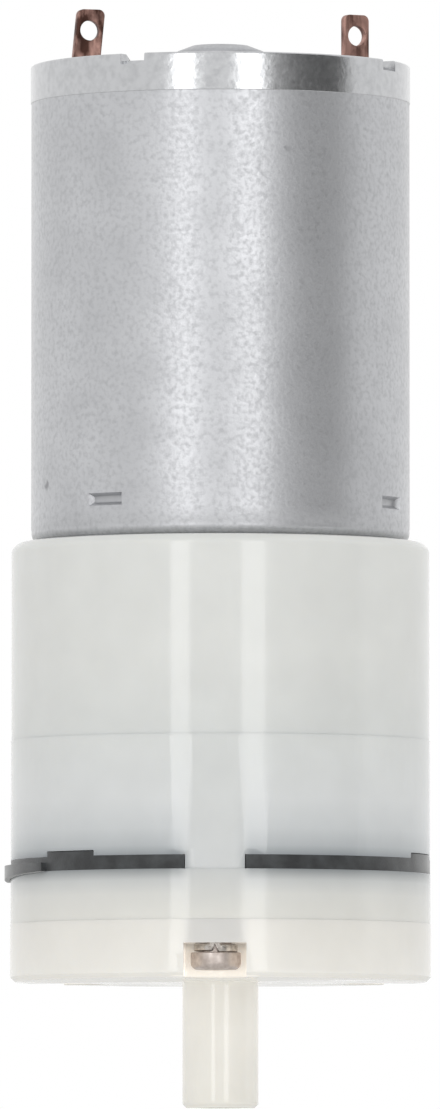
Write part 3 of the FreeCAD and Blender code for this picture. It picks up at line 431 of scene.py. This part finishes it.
def by_level(tree, level, stops):
    """Colour that changes along a level or a distance, through (level, colour) stops."""
    low = stops[0][0]
    high = stops[-1][0]
    ramp = add(tree, "ShaderNodeValToRGB", {
        0: add(tree, SPREAD, {0: level, 1: low, 2: high}).outputs[0],
    })
    elements = ramp.color_ramp.elements
    while len(elements) < len(stops):
        elements.new(0.5)
    for element, (height, code) in zip(elements, stops):
        element.position = (height - low) / (high - low)
        element.color = linear(code)
    return ramp.outputs["Color"]


def lug_wave(tree, axes):
    """Cosine that is 1 at the middle of each screw lug."""
    back = add(tree, MATHS, {0: axes.outputs["Y"], 1: -1.0}, operation="MULTIPLY").outputs[0]
    angle = add(tree, MATHS, {0: axes.outputs["X"], 1: back}, operation="ARCTAN2").outputs[0]
    lugs = len(SCREW_AZIMUTHS)
    turns = add(tree, MATHS, {0: angle, 1: lugs}, operation="MULTIPLY").outputs[0]
    return add(tree, MATHS, {0: turns}, operation="COSINE").outputs[0]


def moulded_rubber():
    """Compression-moulded black rubber, which looks satin and faintly dusty, with fine pores."""
    material, tree, place = new_material("moulded_black_rubber")
    pore = {"Vector": place, "Scale": 1 / (0.12 * MM), "Detail": 3.0}
    pores = add(tree, SPECKLE, pore).outputs[0]
    dust = add(tree, SPECKLE, {"Vector": place, "Scale": 1 / (1.1 * MM)}).outputs[0]
    dusty = add(tree, SPREAD, {0: dust, 1: 0.35, 2: 0.7}).outputs[0]
    tone = {0: dusty, 6: BLACK_RUBBER, 7: RUBBER_DUST}
    return finished(material, "ShaderNodeBsdfPrincipled", {
        "Base Color": add(tree, BLEND, tone, data_type="RGBA").outputs[2],
        "Roughness": add(tree, SPREAD, {0: pores, 1: 0.3, 2: 0.7, 3: 0.45, 4: 0.6}).outputs[0],
        "Sheen Weight": 0.85,
        "Sheen Roughness": 0.4,
        "Normal": add(tree, RELIEF, {"Height": pores, "Distance": 0.006 * MM}).outputs[0],
    })


def stamped_copper():
    """Stamped copper alloy, browned by handling, with a painted highlight low down, and lighter on
    the right tab.
    """
    material, tree, place = new_material("stamped_copper_alloy")
    axes = add(tree, "ShaderNodeSeparateXYZ", {0: place})
    drawn = add(tree, "ShaderNodeMapping", {"Vector": place, "Scale": (1, 1, 0.4)}).outputs[0]
    cloud = add(tree, SPECKLE, {"Vector": drawn, "Scale": 1 / (0.6 * MM), "Detail": 4.0}).outputs[0]
    clean = add(tree, SPREAD, {0: cloud, 1: 0.38, 2: 0.62}).outputs[0]
    # Painted highlight, brightest where the tabs leave the plate
    height = {0: axes.outputs["Z"], 1: RIM, 2: RIM + 1.5 * MM, 3: 0.3, 4: 0.0}
    foot_highlight = add(tree, SPREAD, height).outputs[0]
    # The left tab darker and the right one lighter
    side = {0: axes.outputs["X"], 1: -8 * MM, 2: 8 * MM, 3: -0.22, 4: 0.16}
    right_lighter = add(tree, SPREAD, side).outputs[0]
    extra = add(tree, MATHS, {0: foot_highlight, 1: right_lighter}).outputs[0]
    amount = add(tree, MATHS, {0: clean, 1: extra}, use_clamp=True).outputs[0]
    tone = {0: amount, 6: COPPER_TARNISH, 7: COPPER}
    return finished(material, "ShaderNodeBsdfPrincipled", {
        "Base Color": add(tree, BLEND, tone, data_type="RGBA").outputs[2],
        "Metallic": 1.0,
        "Roughness": add(tree, SPREAD, {0: cloud, 1: 0.3, 2: 0.7, 3: 0.55, 4: 0.42}).outputs[0],
        "Normal": add(tree, RELIEF, {"Height": cloud, "Distance": 0.01 * MM}).outputs[0],
    })


def grained(name, dark, light, grain, roughness, metallic=0.0, depth=0.006):
    """Plain finish: two close colours over a grain, its size and depth in millimetres.

    A real grain that is too fine to show is drawn coarser.
    """
    material, tree, place = new_material(name)
    noise = {"Vector": place, "Scale": 1 / (grain * MM), "Detail": 3.0}
    pattern = add(tree, SPECKLE, noise).outputs[0]
    shade = add(tree, SPREAD, {0: pattern, 1: 0.3, 2: 0.7}).outputs[0]
    gloss = {0: pattern, 1: 0.3, 2: 0.7, 3: roughness + 0.06, 4: roughness - 0.06}
    return finished(material, "ShaderNodeBsdfPrincipled", {
        "Base Color": add(tree, BLEND, {0: shade, 6: dark, 7: light}, data_type="RGBA").outputs[2],
        "Metallic": metallic,
        "Roughness": add(tree, SPREAD, gloss).outputs[0],
        "Normal": add(tree, RELIEF, {"Height": pattern, "Distance": depth * MM}).outputs[0],
    })


def layered(name, dark, light, pitch, roughness):
    """Metal in fine layers across Z, such as laminations or turns of wire, pitch in millimetres."""
    material, tree, place = new_material(name)
    bands = {"Vector": place, "Scale": 1 / (pitch * MM * 20), "Distortion": 0.4}
    wave = add(tree, "ShaderNodeTexWave", bands, bands_direction="Z").outputs["Fac"]
    return finished(material, "ShaderNodeBsdfPrincipled", {
        "Base Color": add(tree, BLEND, {0: wave, 6: dark, 7: light}, data_type="RGBA").outputs[2],
        "Metallic": 1.0,
        "Roughness": roughness,
        "Normal": add(tree, RELIEF, {"Height": wave, "Distance": 0.03 * MM}).outputs[0],
    })


def at(radius, azimuth, z=0.0):
    """Point at a distance from the Z axis."""
    angle = math.radians(azimuth)
    return Vector((radius * math.sin(angle), -radius * math.cos(angle), z))


def new_piece(bm, name, material, node, body="housing"):
    """Object from a bmesh, shaded smooth up to an angle, that stands for a CAD node."""
    mesh = bpy.data.meshes.new(name)
    bm.to_mesh(mesh)
    bm.free()
    mesh.shade_smooth()
    mesh.set_sharp_from_angle(angle=SHARP_ANGLE)
    mesh.materials.append(material)
    piece = bpy.data.objects.new(name, mesh)
    bpy.context.scene.collection.objects.link(piece)
    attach(piece, body)
    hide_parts(node)
    return piece


def rounded(bm, edges, width, segments, clamp=False):
    """Rounds edges by a width in metres. Clamp keeps the rounds from running into each other."""
    bmesh.ops.bevel(
        bm, geom=edges, offset=width, offset_type="OFFSET", segments=segments, profile=0.5,
        affect="EDGES", clamp_overlap=clamp, material=-1,
    )


def softened(node, name, material, width, segments=2, beyond=0.0, within=(-1, 99), cuts=()):
    """Copy of a CAD node with its flats merged and its sharp edges rounded.

    Edges are rounded by a width where they lie beyond a distance from the axis and within a
    range of heights above the node's bottom. Cuts are heights where a wall gets an edge loop,
    so that the shading of its ends and slots stays beside them. All are in millimetres.
    """
    bm = bmesh.new()
    bm.from_mesh(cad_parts[node].data)
    bmesh.ops.remove_doubles(bm, verts=bm.verts, dist=WELD)
    bmesh.ops.dissolve_limit(bm, angle_limit=FLAT_ANGLE, verts=bm.verts, edges=bm.edges)
    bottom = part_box(node)[0].z
    for height in cuts:
        geom = bm.verts[:] + bm.edges[:] + bm.faces[:]
        plane = (0, 0, bottom + height * MM)
        bmesh.ops.bisect_plane(bm, geom=geom, dist=GRAZE, plane_co=plane, plane_no=(0, 0, 1))
    sharp = []
    for edge in bm.edges:
        if len(edge.link_faces) == 2 and edge.calc_face_angle() > SHARP_ANGLE:
            radius = min(math.hypot(vert.co.x, vert.co.y) for vert in edge.verts)
            heights = [(vert.co.z - bottom) / MM for vert in edge.verts]
            if radius > beyond * MM and within[0] < min(heights) and max(heights) < within[1]:
                sharp.append(edge)
    rounded(bm, sharp, width * MM, segments, clamp=True)
    return new_piece(bm, name, material, node)


def arc(centre_r, centre_z, radius, start, end, steps):
    """Profile points on an arc, its angles in degrees from +R towards +Z."""
    points = []
    for i in range(steps + 1):
        angle = math.radians(start + (end - start) * i / steps)
        points.append((centre_r + radius * math.cos(angle), centre_z + radius * math.sin(angle)))
    return points


def spun(profile, steps=TURNS):
    """Closed shell turned about Z from a closed loop of (radius, level) points."""
    bm = bmesh.new()
    verts = [bm.verts.new((0, -r, z)) for r, z in profile]
    for i, vert in enumerate(verts):
        bm.edges.new((vert, verts[(i + 1) % len(verts)]))
    bmesh.ops.spin(
        bm, geom=bm.verts[:] + bm.edges[:], cent=(0, 0, 0), axis=(0, 0, 1),
        angle=2 * math.pi, steps=steps, use_merge=True,
    )
    bmesh.ops.remove_doubles(bm, verts=bm.verts, dist=WELD)
    bmesh.ops.recalc_face_normals(bm, faces=bm.faces)
    return bm


def slice_beside(bm, azimuth, offset):
    """Adds an edge loop where a plane beside an azimuth cuts the shell."""
    side = at(1, azimuth + 90)
    geom = bm.verts[:] + bm.edges[:] + bm.faces[:]
    bmesh.ops.bisect_plane(bm, geom=geom, dist=GRAZE, plane_co=side * offset, plane_no=side)


def beside(point, azimuth):
    """How far a point lies to the side of an azimuth, and whether it is on that half."""
    return abs(point.dot(at(1, azimuth + 90))), point.dot(at(1, azimuth)) > 0


def can_profile():
    """The can's section, from the bearing's bore round the outside and back inside."""
    band = RIM - BAND_HEIGHT
    floor = RIM - NOTCH_DEPTH
    stake_r = CAN_R - STAKE_DEPTH
    crease = JOINT + CREASE_RISE
    corner_r = CAN_R - CREASE_DEPTH - CORNER_ROUND
    outer = CAN_R + BAND_STEP
    dent = JOINT + DENT_RISE
    profile = [(BEARING_R, BOSS_END), (BOSS_R, BOSS_END), (BOSS_R, JOINT)]
    profile += arc(corner_r, JOINT + CORNER_ROUND, CORNER_ROUND, -90, 0, CORNER_STEPS)
    profile += [
        (CAN_R - CREASE_DEPTH, crease - CREASE_SLOPE),
        (CAN_R, crease),
        (CAN_R, dent - DENT_HALF_HEIGHT),
        (CAN_R, dent + DENT_HALF_HEIGHT),
        (CAN_R, band - BAND_SLOPE),
        (outer, band),
        (outer, floor),
    ]
    profile += arc(outer - RIM_ROUND, RIM - RIM_ROUND, RIM_ROUND, 0, 90, RIM_STEPS)
    profile += [(stake_r + STAKE_LAND, RIM), (stake_r, RIM)]
    profile += arc(CAN_BORE_R + RIM_ROUND, RIM - RIM_ROUND, RIM_ROUND, 90, 180, RIM_STEPS)
    profile += [
        (CAN_BORE_R, RIM - PLATE_INSET + HAIR),
        (CAN_BORE_R, floor),
        (CAN_BORE_R, JOINT + FRONT_WALL),
        (BEARING_R, JOINT + FRONT_WALL),
    ]
    return profile


def stake_notch(vert):
    """Drops the rim at a notch and flattens its inner half over the end plate."""
    stake_r = CAN_R - STAKE_DEPTH
    for azimuth in NOTCH_AZIMUTHS:
        side, near = beside(vert.co, azimuth)
        if near and side < NOTCH_HALF_WIDTH + WELD:
            if math.hypot(vert.co.x, vert.co.y) > stake_r + HAIR:
                vert.co.z = RIM - NOTCH_DEPTH
            else:
                vert.co.z = min(vert.co.z, RIM - PLATE_INSET + STAKE_HEIGHT)
                if math.hypot(vert.co.x, vert.co.y) < stake_r - HAIR:
                    vert.co -= at(STAKE_REACH, azimuth)


def press_dent(bm, azimuth):
    """Presses one dent into the wall, with sloping sides and a rounded lip."""
    dent = JOINT + DENT_RISE
    pressed = []
    for face in bm.faces:
        middle = face.calc_center_median()
        side, near = beside(middle, azimuth)
        on_wall = math.hypot(middle.x, middle.y) > CAN_R - WALL_SKIN
        on_level = abs(middle.z - dent) < DENT_HALF_HEIGHT
        if near and side < DENT_HALF_WIDTH and on_level and on_wall:
            pressed.append(face)
    bmesh.ops.inset_region(
        bm, faces=pressed, thickness=DENT_SLOPE, depth=-DENT_DEPTH, use_even_offset=True,
    )
    lip = {e for f in pressed for e in f.edges if any(g not in pressed for g in e.link_faces)}
    rounded(bm, list(lip), DENT_LIP, 2)


def drawn_can(material):
    """Can with a round corner, a crease, a burnished rim band, staking notches and dents."""
    bm = spun(can_profile())
    for azimuth in NOTCH_AZIMUTHS[:2]:
        for offset in (NOTCH_HALF_WIDTH, NOTCH_HALF_WIDTH + NOTCH_EDGE):
            slice_beside(bm, azimuth, offset)
            slice_beside(bm, azimuth, -offset)
    for azimuth in DENT_AZIMUTHS:
        slice_beside(bm, azimuth, DENT_HALF_WIDTH)
        slice_beside(bm, azimuth, -DENT_HALF_WIDTH)
    for vert in bm.verts:
        if vert.co.z > RIM - NOTCH_DEPTH + WELD:
            stake_notch(vert)
    for azimuth in DENT_AZIMUTHS:
        press_dent(bm, azimuth)
    return new_piece(bm, "drawn_can", material, "motor_can")


def screw_shape():
    """Pan-head screw with a cross recess, standing on the Z axis with its head down."""
    low = SCREW_SEAT - SCREW_HEAD_HEIGHT
    edge = SCREW_HEAD_ROUND
    profile = [(0, low), (RECESS_SPAN / 2 + RECESS_LAND, low)]
    profile += arc(SCREW_HEAD_R - edge, low + edge, edge, -90, 0, SCREW_HEAD_STEPS)
    profile += [
        (SCREW_HEAD_R, SCREW_SEAT - SCREW_HEAD_EDGE),
        (SCREW_HEAD_R - SCREW_HEAD_EDGE, SCREW_SEAT),
        (SCREW_R, SCREW_SEAT),
        (SCREW_R, SCREW_TOP - SCREW_TIP),
        (SCREW_R - SCREW_TIP, SCREW_TOP),
        (0, SCREW_TOP),
    ]
    bm = spun(profile, SCREW_TURNS)
    flat = [f for f in bm.faces if all(v.co.z < low + WELD for v in f.verts)]
    bmesh.ops.dissolve_faces(bm, faces=flat)
    half = RECESS_WIDTH / 2
    reach = RECESS_SPAN / 2
    for direction in (Vector((1, 0, 0)), Vector((0, 1, 0))):
        for offset in (-reach, -half, half, reach):
            flat = [f for f in bm.faces if all(v.co.z < low + WELD for v in f.verts)]
            edges = {e for f in flat for e in f.edges}
            verts = {v for f in flat for v in f.verts}
            bmesh.ops.bisect_plane(
                bm, geom=flat + list(edges) + list(verts), dist=GRAZE,
                plane_co=direction * offset, plane_no=direction,
            )
    cross = []
    for face in bm.faces:
        middle = face.calc_center_median()
        across = sorted((abs(middle.x), abs(middle.y)))
        if middle.z < low + WELD and across[0] < half and across[1] < reach:
            cross.append(face)
    bmesh.ops.inset_region(bm, faces=cross, thickness=RECESS_TAPER, depth=-RECESS_DEPTH)
    return bm


def washer_shape():
    """Split spring washer about the Z axis, its split at the front and wider below."""
    thickness = POCKET_CEILING - SCREW_SEAT - WASHER_RISE
    bm = bmesh.new()
    corners = [
        (WASHER_BORE_R, SCREW_SEAT), (WASHER_R, SCREW_SEAT),
        (WASHER_R, SCREW_SEAT + thickness), (WASHER_BORE_R, SCREW_SEAT + thickness),
    ]
    face = bm.faces.new([bm.verts.new((0, -r, z)) for r, z in corners])
    turn = Matrix.Rotation(math.radians(WASHER_SPLIT / 2), 3, "Z")
    bmesh.ops.rotate(bm, verts=bm.verts, cent=(0, 0, 0), matrix=turn)
    ends = [face.verts[:]]
    turned = bmesh.ops.spin(
        bm, geom=[face], cent=(0, 0, 0), axis=(0, 0, 1), dvec=(0, 0, WASHER_RISE / WASHER_STEPS),
        angle=math.radians(360 - WASHER_SPLIT), steps=WASHER_STEPS, use_merge=False,
    )
    ends.append([part for part in turned["geom_last"] if isinstance(part, bmesh.types.BMVert)])
    for verts in ends:
        for vert in sorted(verts, key=lambda v: v.co.z)[:2]:
            vert.co.x += math.copysign(WASHER_FLARE, vert.co.x)
    bmesh.ops.recalc_face_normals(bm, faces=bm.faces)
    paired = [e for e in bm.edges if len(e.link_faces) == 2]
    rounded(bm, [e for e in paired if e.calc_face_angle() > WASHER_CORNER], WASHER_EDGE, 3)
    return bm


def at_each_screw(shape, name, material, node):
    """One piece with a copy of a shape at each of the three screws."""
    seed = bpy.data.meshes.new(name + "_seed")
    shape.to_mesh(seed)
    shape.free()
    bm = bmesh.new()
    for azimuth in SCREW_AZIMUTHS:
        before = len(bm.verts)
        bm.from_mesh(seed)
        bm.verts.ensure_lookup_table()
        fresh = bm.verts[before:]
        turn = Matrix.Rotation(math.radians(azimuth), 3, "Z")
        bmesh.ops.rotate(bm, verts=fresh, cent=(0, 0, 0), matrix=turn)
        bmesh.ops.translate(bm, verts=fresh, vec=at(SCREW_CIRCLE_R, azimuth))
    bpy.data.meshes.remove(seed)
    return new_piece(bm, name, material, node)


def dress_motor():
    """Can, end plate, tabs and what shows round them."""
    drawn_can(zinc_plated_steel())
    softened("end_plate", "end_plate_pressing", pressed_zinc_steel(), PLATE_EDGE, 4)
    # Moulded nylon looks off-white and satin
    nylon = grained("moulded_nylon", NYLON_SHADED, NYLON, 0.5, 0.42)
    softened("brush_holder", "brush_holder_moulding", nylon, HOLDER_EDGE)
    copper = stamped_copper()
    for side in ("positive", "negative"):
        softened(f"terminal_{side}", f"terminal_tab_{side}", copper, TAB_EDGE)


def dress_head():
    """Milky mouldings, the black flange between them, and the screws."""
    case = milk_plastic("case_natural_plastic", CASE_STOPS)
    seat = milk_plastic("seat_natural_plastic", SEAT_STOPS, SEAT_LUG_STOPS)
    plate = milk_plastic("valve_plate_natural_plastic", PLATE_STOPS, PLATE_LUG_STOPS)
    # The cover has a painted glow in its pockets and nozzle
    cover = milk_plastic("cover_natural_plastic", COVER_STOPS, COVER_LUG_STOPS, painted_glow)
    softened(
        "crank_case", "crank_case_moulding", case, CASE_EDGE, 3, HEAD_OUTSIDE,
        CASE_ROUNDED, CASE_CUTS,
    )
    softened(
        "cup_seat", "cup_seat_moulding", seat, JOINT_EDGE, 1, HEAD_OUTSIDE, cuts=SEAT_CUTS,
    )
    softened(
        "valve_plate", "valve_plate_moulding", plate, JOINT_EDGE, 1, HEAD_OUTSIDE,
        cuts=PLATE_CUTS,
    )
    softened(
        "nozzle_cover", "nozzle_cover_moulding", cover, COVER_EDGE, 3, NOZZLE_OUTSIDE,
        COVER_ROUNDED, COVER_CUTS,
    )
    softened("diaphragm", "diaphragm_moulding", moulded_rubber(), FLANGE_EDGE, 3, HEAD_OUTSIDE)
    # Nickel plate looks warm and softly bright, and the spring steel's zinc a little brighter
    nickel = grained("nickel_plated_steel", NICKEL_DARK, NICKEL, 0.4, 0.42, 1.0)
    spring = grained("zinc_plated_spring_steel", SPRING_DARK, SPRING_LIGHT, 0.3, 0.24, 1.0, 0.003)
    at_each_screw(screw_shape(), "pan_head_screws", nickel, "head_screws")
    at_each_screw(washer_shape(), "spring_washers", spring, "lock_washers")


# Finishes of the CAD nodes that are hidden in the finished pump. Each row gives the kind of
# finish and the nodes, then the name, the dark and the light colour, the grain or pitch in
# millimetres, the roughness and for a grained metal a metallic of 1.
INSIDE_FINISHES = [
    # Ground ferrite looks near black and dull
    (grained, ("magnet_front", "magnet_rear"),
     ("ground_ferrite", "#2A2B2D", "#3B3C3E", 0.2, 0.6)),
    # Rolled spring steel looks dark with a soft shine
    (grained, ("magnet_clip",),
     ("rolled_spring_steel", "#4C4D4F", "#66676A", 0.2, 0.34, 1.0)),
    # Sintered bronze looks brown-gold and porous
    (grained, ("front_bearing", "rear_bearing"),
     ("sintered_bronze", "#7A5A36", "#A07A4B", 0.08, 0.5, 1.0)),
    # Pressed carbon looks black and matt
    (grained, ("carbon_brush_positive", "carbon_brush_negative"),
     ("pressed_carbon", "#1B1B1C", "#2C2C2E", 0.1, 0.55)),
    # Rolled copper strip looks warm and fairly bright
    (grained, ("brush_arm_positive", "brush_arm_negative"),
     ("rolled_copper_strip", "#9C6B42", "#C28A58", 0.2, 0.3, 1.0)),
    # Ground steel looks pale and bright
    (grained, ("rotor_shaft", "crank_pin"),
     ("ground_steel", "#A9ABAE", "#C4C6C8", 0.06, 0.22, 1.0)),
    # Stacked steel sheets look grey, in fine bands
    (layered, ("rotor_core",),
     ("silicon_steel_laminations", "#3F4042", "#77787B", 0.5, 0.45)),
    # Wound enamelled wire looks red-brown and glossy, turn by turn
    (layered, ("rotor_coil_1", "rotor_coil_2", "rotor_coil_3"),
     ("enamelled_copper_wire", "#5E2413", "#B8582F", 0.25, 0.3)),
    # Pressed fibre looks brick red and matt
    (grained, ("insulator_front", "insulator_rear"),
     ("pressed_insulating_fibre", "#8C2A1C", "#A53A28", 0.15, 0.6)),
    # Moulded phenolic looks dark brown with a slight gloss
    (grained, ("commutator_hub",),
     ("moulded_phenolic", "#2A1D17", "#3A2A21", 0.3, 0.4)),
    # Turned copper looks bright and reddish
    (grained, ("commutator_bar_1", "commutator_bar_2", "commutator_bar_3"),
     ("turned_copper", "#A7623F", "#CB7F57", 0.1, 0.28, 1.0)),
    # Drawn brass looks yellow and bright
    (grained, ("front_spacer",),
     ("drawn_brass", "#A88A45", "#C9AA60", 0.2, 0.26, 1.0)),
    # Stamped nylon looks off-white and satin
    (grained, ("thrust_washer",),
     ("stamped_nylon", "#CFCCC2", "#DEDBD1", 0.3, 0.4)),
    # Zinc-plated screws look pale grey with a soft shine
    (grained, ("motor_screws",),
     ("zinc_plated_screw_steel", "#9A9B9E", "#B9BABC", 0.15, 0.3, 1.0)),
    # Moulded acetal looks cool white and smooth
    (grained, ("crank_hub", "wobble_plate"),
     ("moulded_acetal", "#C9CBCB", "#DADBDA", 0.6, 0.3)),
    # Moulded soft rubber looks near black and satin
    (grained, ("outlet_valve", "seal_ring"),
     ("moulded_soft_rubber", "#26282A", "#333638", 0.15, 0.55)),
]


def dress_inside():
    """Gives each hidden CAD node the finish of its real material."""
    for make, nodes, finish in INSIDE_FINISHES:
        material = make(*finish)
        for node in nodes:
            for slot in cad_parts[node].material_slots:
                slot.material = material


# Studio, in metres and degrees. The camera looks slightly up at the pump, as the photograph does.
CAMERA_DISTANCE = 0.977
CAMERA_AZIMUTH = 1.5
CAMERA_LEVEL = -0.067
CAMERA_NEAR = 0.05
AIM_LEVEL = -0.0161
AIM_SIDE = -0.00003
LENS = 492.8
SENSOR = 36
FLOOR_LEVEL = -0.09
FLOOR_SPAN = 4
FLOOR_CLOUD = 0.2
FLOOR_WHITE = "#FBFBFA"
FLOOR_SHADE = "#F6F6F4"
LAMP_DISTANCE = 1.3
LAMP_HEIGHT = 2.0
# Azimuth, width and power of each lamp
LAMPS = {"left_strip": (-20.5, 0.24, 4.1), "right_strip": (19.5, 0.3, 4.5)}
CARD_AZIMUTH = 58.5
CARD_DISTANCE = 0.8
CARD_WIDTH = 0.9
CARD_HEIGHT = 1.8
# Shades across the card, from its near edge to its far edge
CARD_STOPS = [
    (-CARD_WIDTH / 2, "#F4F4F4"),
    (-0.38, "#DCDCDC"),
    (-0.25, "#B2B2B2"),
    (-0.13, "#929292"),
    (0.0, "#7E7E7E"),
    (0.15, "#7C7C7C"),
    (0.28, "#8A8A8A"),
    (0.34, "#A0A0A0"),
    (0.38, "#EEEEEE"),
    (CARD_WIDTH / 2, "#F4F4F4"),
]
SOFT_LEVEL = 0.74


def facing(eye, target):
    """Turn that points an object's -Z at a target, with Z up."""
    return (target - eye).to_track_quat("-Z", "Y").to_euler()


def place_camera():
    """Camera at the photograph's angle, a little below the pump."""
    camera = bpy.data.objects.new("photo_camera", bpy.data.cameras.new("photo_camera"))
    camera.data.lens = LENS
    camera.data.sensor_width = SENSOR
    camera.data.clip_start = CAMERA_NEAR
    camera.location = at(CAMERA_DISTANCE, CAMERA_AZIMUTH, CAMERA_LEVEL)
    camera.rotation_euler = facing(camera.location, Vector((AIM_SIDE, 0, AIM_LEVEL)))
    bpy.context.scene.collection.objects.link(camera)
    bpy.context.scene.camera = camera


def place_lamps():
    """Two tall soft strips, one each side of the camera, that give the two long highlights."""
    for name, (azimuth, width, power) in LAMPS.items():
        lamp = bpy.data.lights.new(name, "AREA")
        lamp.shape = "RECTANGLE"
        lamp.size = width
        lamp.size_y = LAMP_HEIGHT
        lamp.energy = power
        holder = bpy.data.objects.new(name, lamp)
        holder.location = at(LAMP_DISTANCE, azimuth, AIM_LEVEL)
        holder.rotation_euler = facing(holder.location, Vector((0, 0, AIM_LEVEL)))
        bpy.context.scene.collection.objects.link(holder)


def stage_card(name, material, width, height, transform):
    """Flat stage piece, not part of the pump."""
    bm = bmesh.new()
    bmesh.ops.create_grid(bm, x_segments=1, y_segments=1, size=0.5)
    bmesh.ops.scale(bm, verts=bm.verts, vec=(width, height, 1))
    bmesh.ops.transform(bm, verts=bm.verts, matrix=transform)
    mesh = bpy.data.meshes.new(name)
    bm.to_mesh(mesh)
    bm.free()
    mesh.materials.append(material)
    card = bpy.data.objects.new(name, mesh)
    bpy.context.scene.collection.objects.link(card)
    return card


def pale_floor_paint():
    """Pale matt paint, open from underneath, so that the pump shows from below too."""
    material, tree, place = new_material("pale_floor_paint")
    tone = add(tree, SPECKLE, {"Vector": place, "Scale": 1 / FLOOR_CLOUD}).outputs[0]
    shades = {0: tone, 6: FLOOR_SHADE, 7: FLOOR_WHITE}
    colour = add(tree, BLEND, shades, data_type="RGBA").outputs[2]
    paint = add(tree, "ShaderNodeBsdfDiffuse", {"Color": colour}).outputs[0]
    clear = add(tree, "ShaderNodeBsdfTransparent").outputs[0]
    under = add(tree, "ShaderNodeNewGeometry").outputs["Backfacing"]
    return finished(material, "ShaderNodeMixShader", {0: under, 1: paint, 2: clear})


def grey_card_paint():
    """Matt card that is dark in its middle and fades to white at its near and far edges."""
    material, tree, place = new_material("grey_card_paint")
    side = at(1, CARD_AZIMUTH + 90)
    across = add(tree, "ShaderNodeVectorMath", {0: place, 1: side}, operation="DOT_PRODUCT")
    shade = by_level(tree, across.outputs["Value"], CARD_STOPS)
    return finished(material, "ShaderNodeBsdfDiffuse", {"Color": shade})


def place_stage():
    """Pale floor below the pump, and a grey card at the right that the can mirrors."""
    floor = Matrix.Translation((0, 0, FLOOR_LEVEL))
    stage_card("floor", pale_floor_paint(), FLOOR_SPAN, FLOOR_SPAN, floor)
    spot = Matrix.Translation(at(CARD_DISTANCE, CARD_AZIMUTH, AIM_LEVEL))
    turn = Matrix.Rotation(math.radians(CARD_AZIMUTH), 4, "Z")
    upright = Matrix.Rotation(math.radians(90), 4, "X")
    paint = grey_card_paint()
    card = stage_card("grey_card", paint, CARD_WIDTH, CARD_HEIGHT, spot @ (turn @ upright))
    card.visible_camera = False
    card.visible_diffuse = False
    card.visible_shadow = False
    card.visible_transmission = False


def light_world():
    """White behind the pump and in its reflections, and a softer white for the light it gives."""
    world = bpy.data.worlds.new("studio_white")
    bpy.context.scene.world = world
    world.use_nodes = True
    tree = world.node_tree
    tree.nodes.clear()
    path = add(tree, "ShaderNodeLightPath")
    seen = path.outputs["Is Camera Ray"]
    for kind in ("Is Glossy Ray", "Is Transmission Ray"):
        seen = add(tree, MATHS, {0: seen, 1: path.outputs[kind]}, operation="MAXIMUM").outputs[0]
    strength = add(tree, SPREAD, {0: seen, 3: SOFT_LEVEL, 4: 1.0}).outputs[0]
    white = {"Color": (1, 1, 1, 1), "Strength": strength}
    background = add(tree, "ShaderNodeBackground", white)
    add(tree, "ShaderNodeOutputWorld", {"Surface": background.outputs[0]})


dress_motor()
dress_head()
dress_inside()
place_camera()
place_lamps()
place_stage()
light_world()
bpy.context.scene.view_settings.view_transform = "Standard"
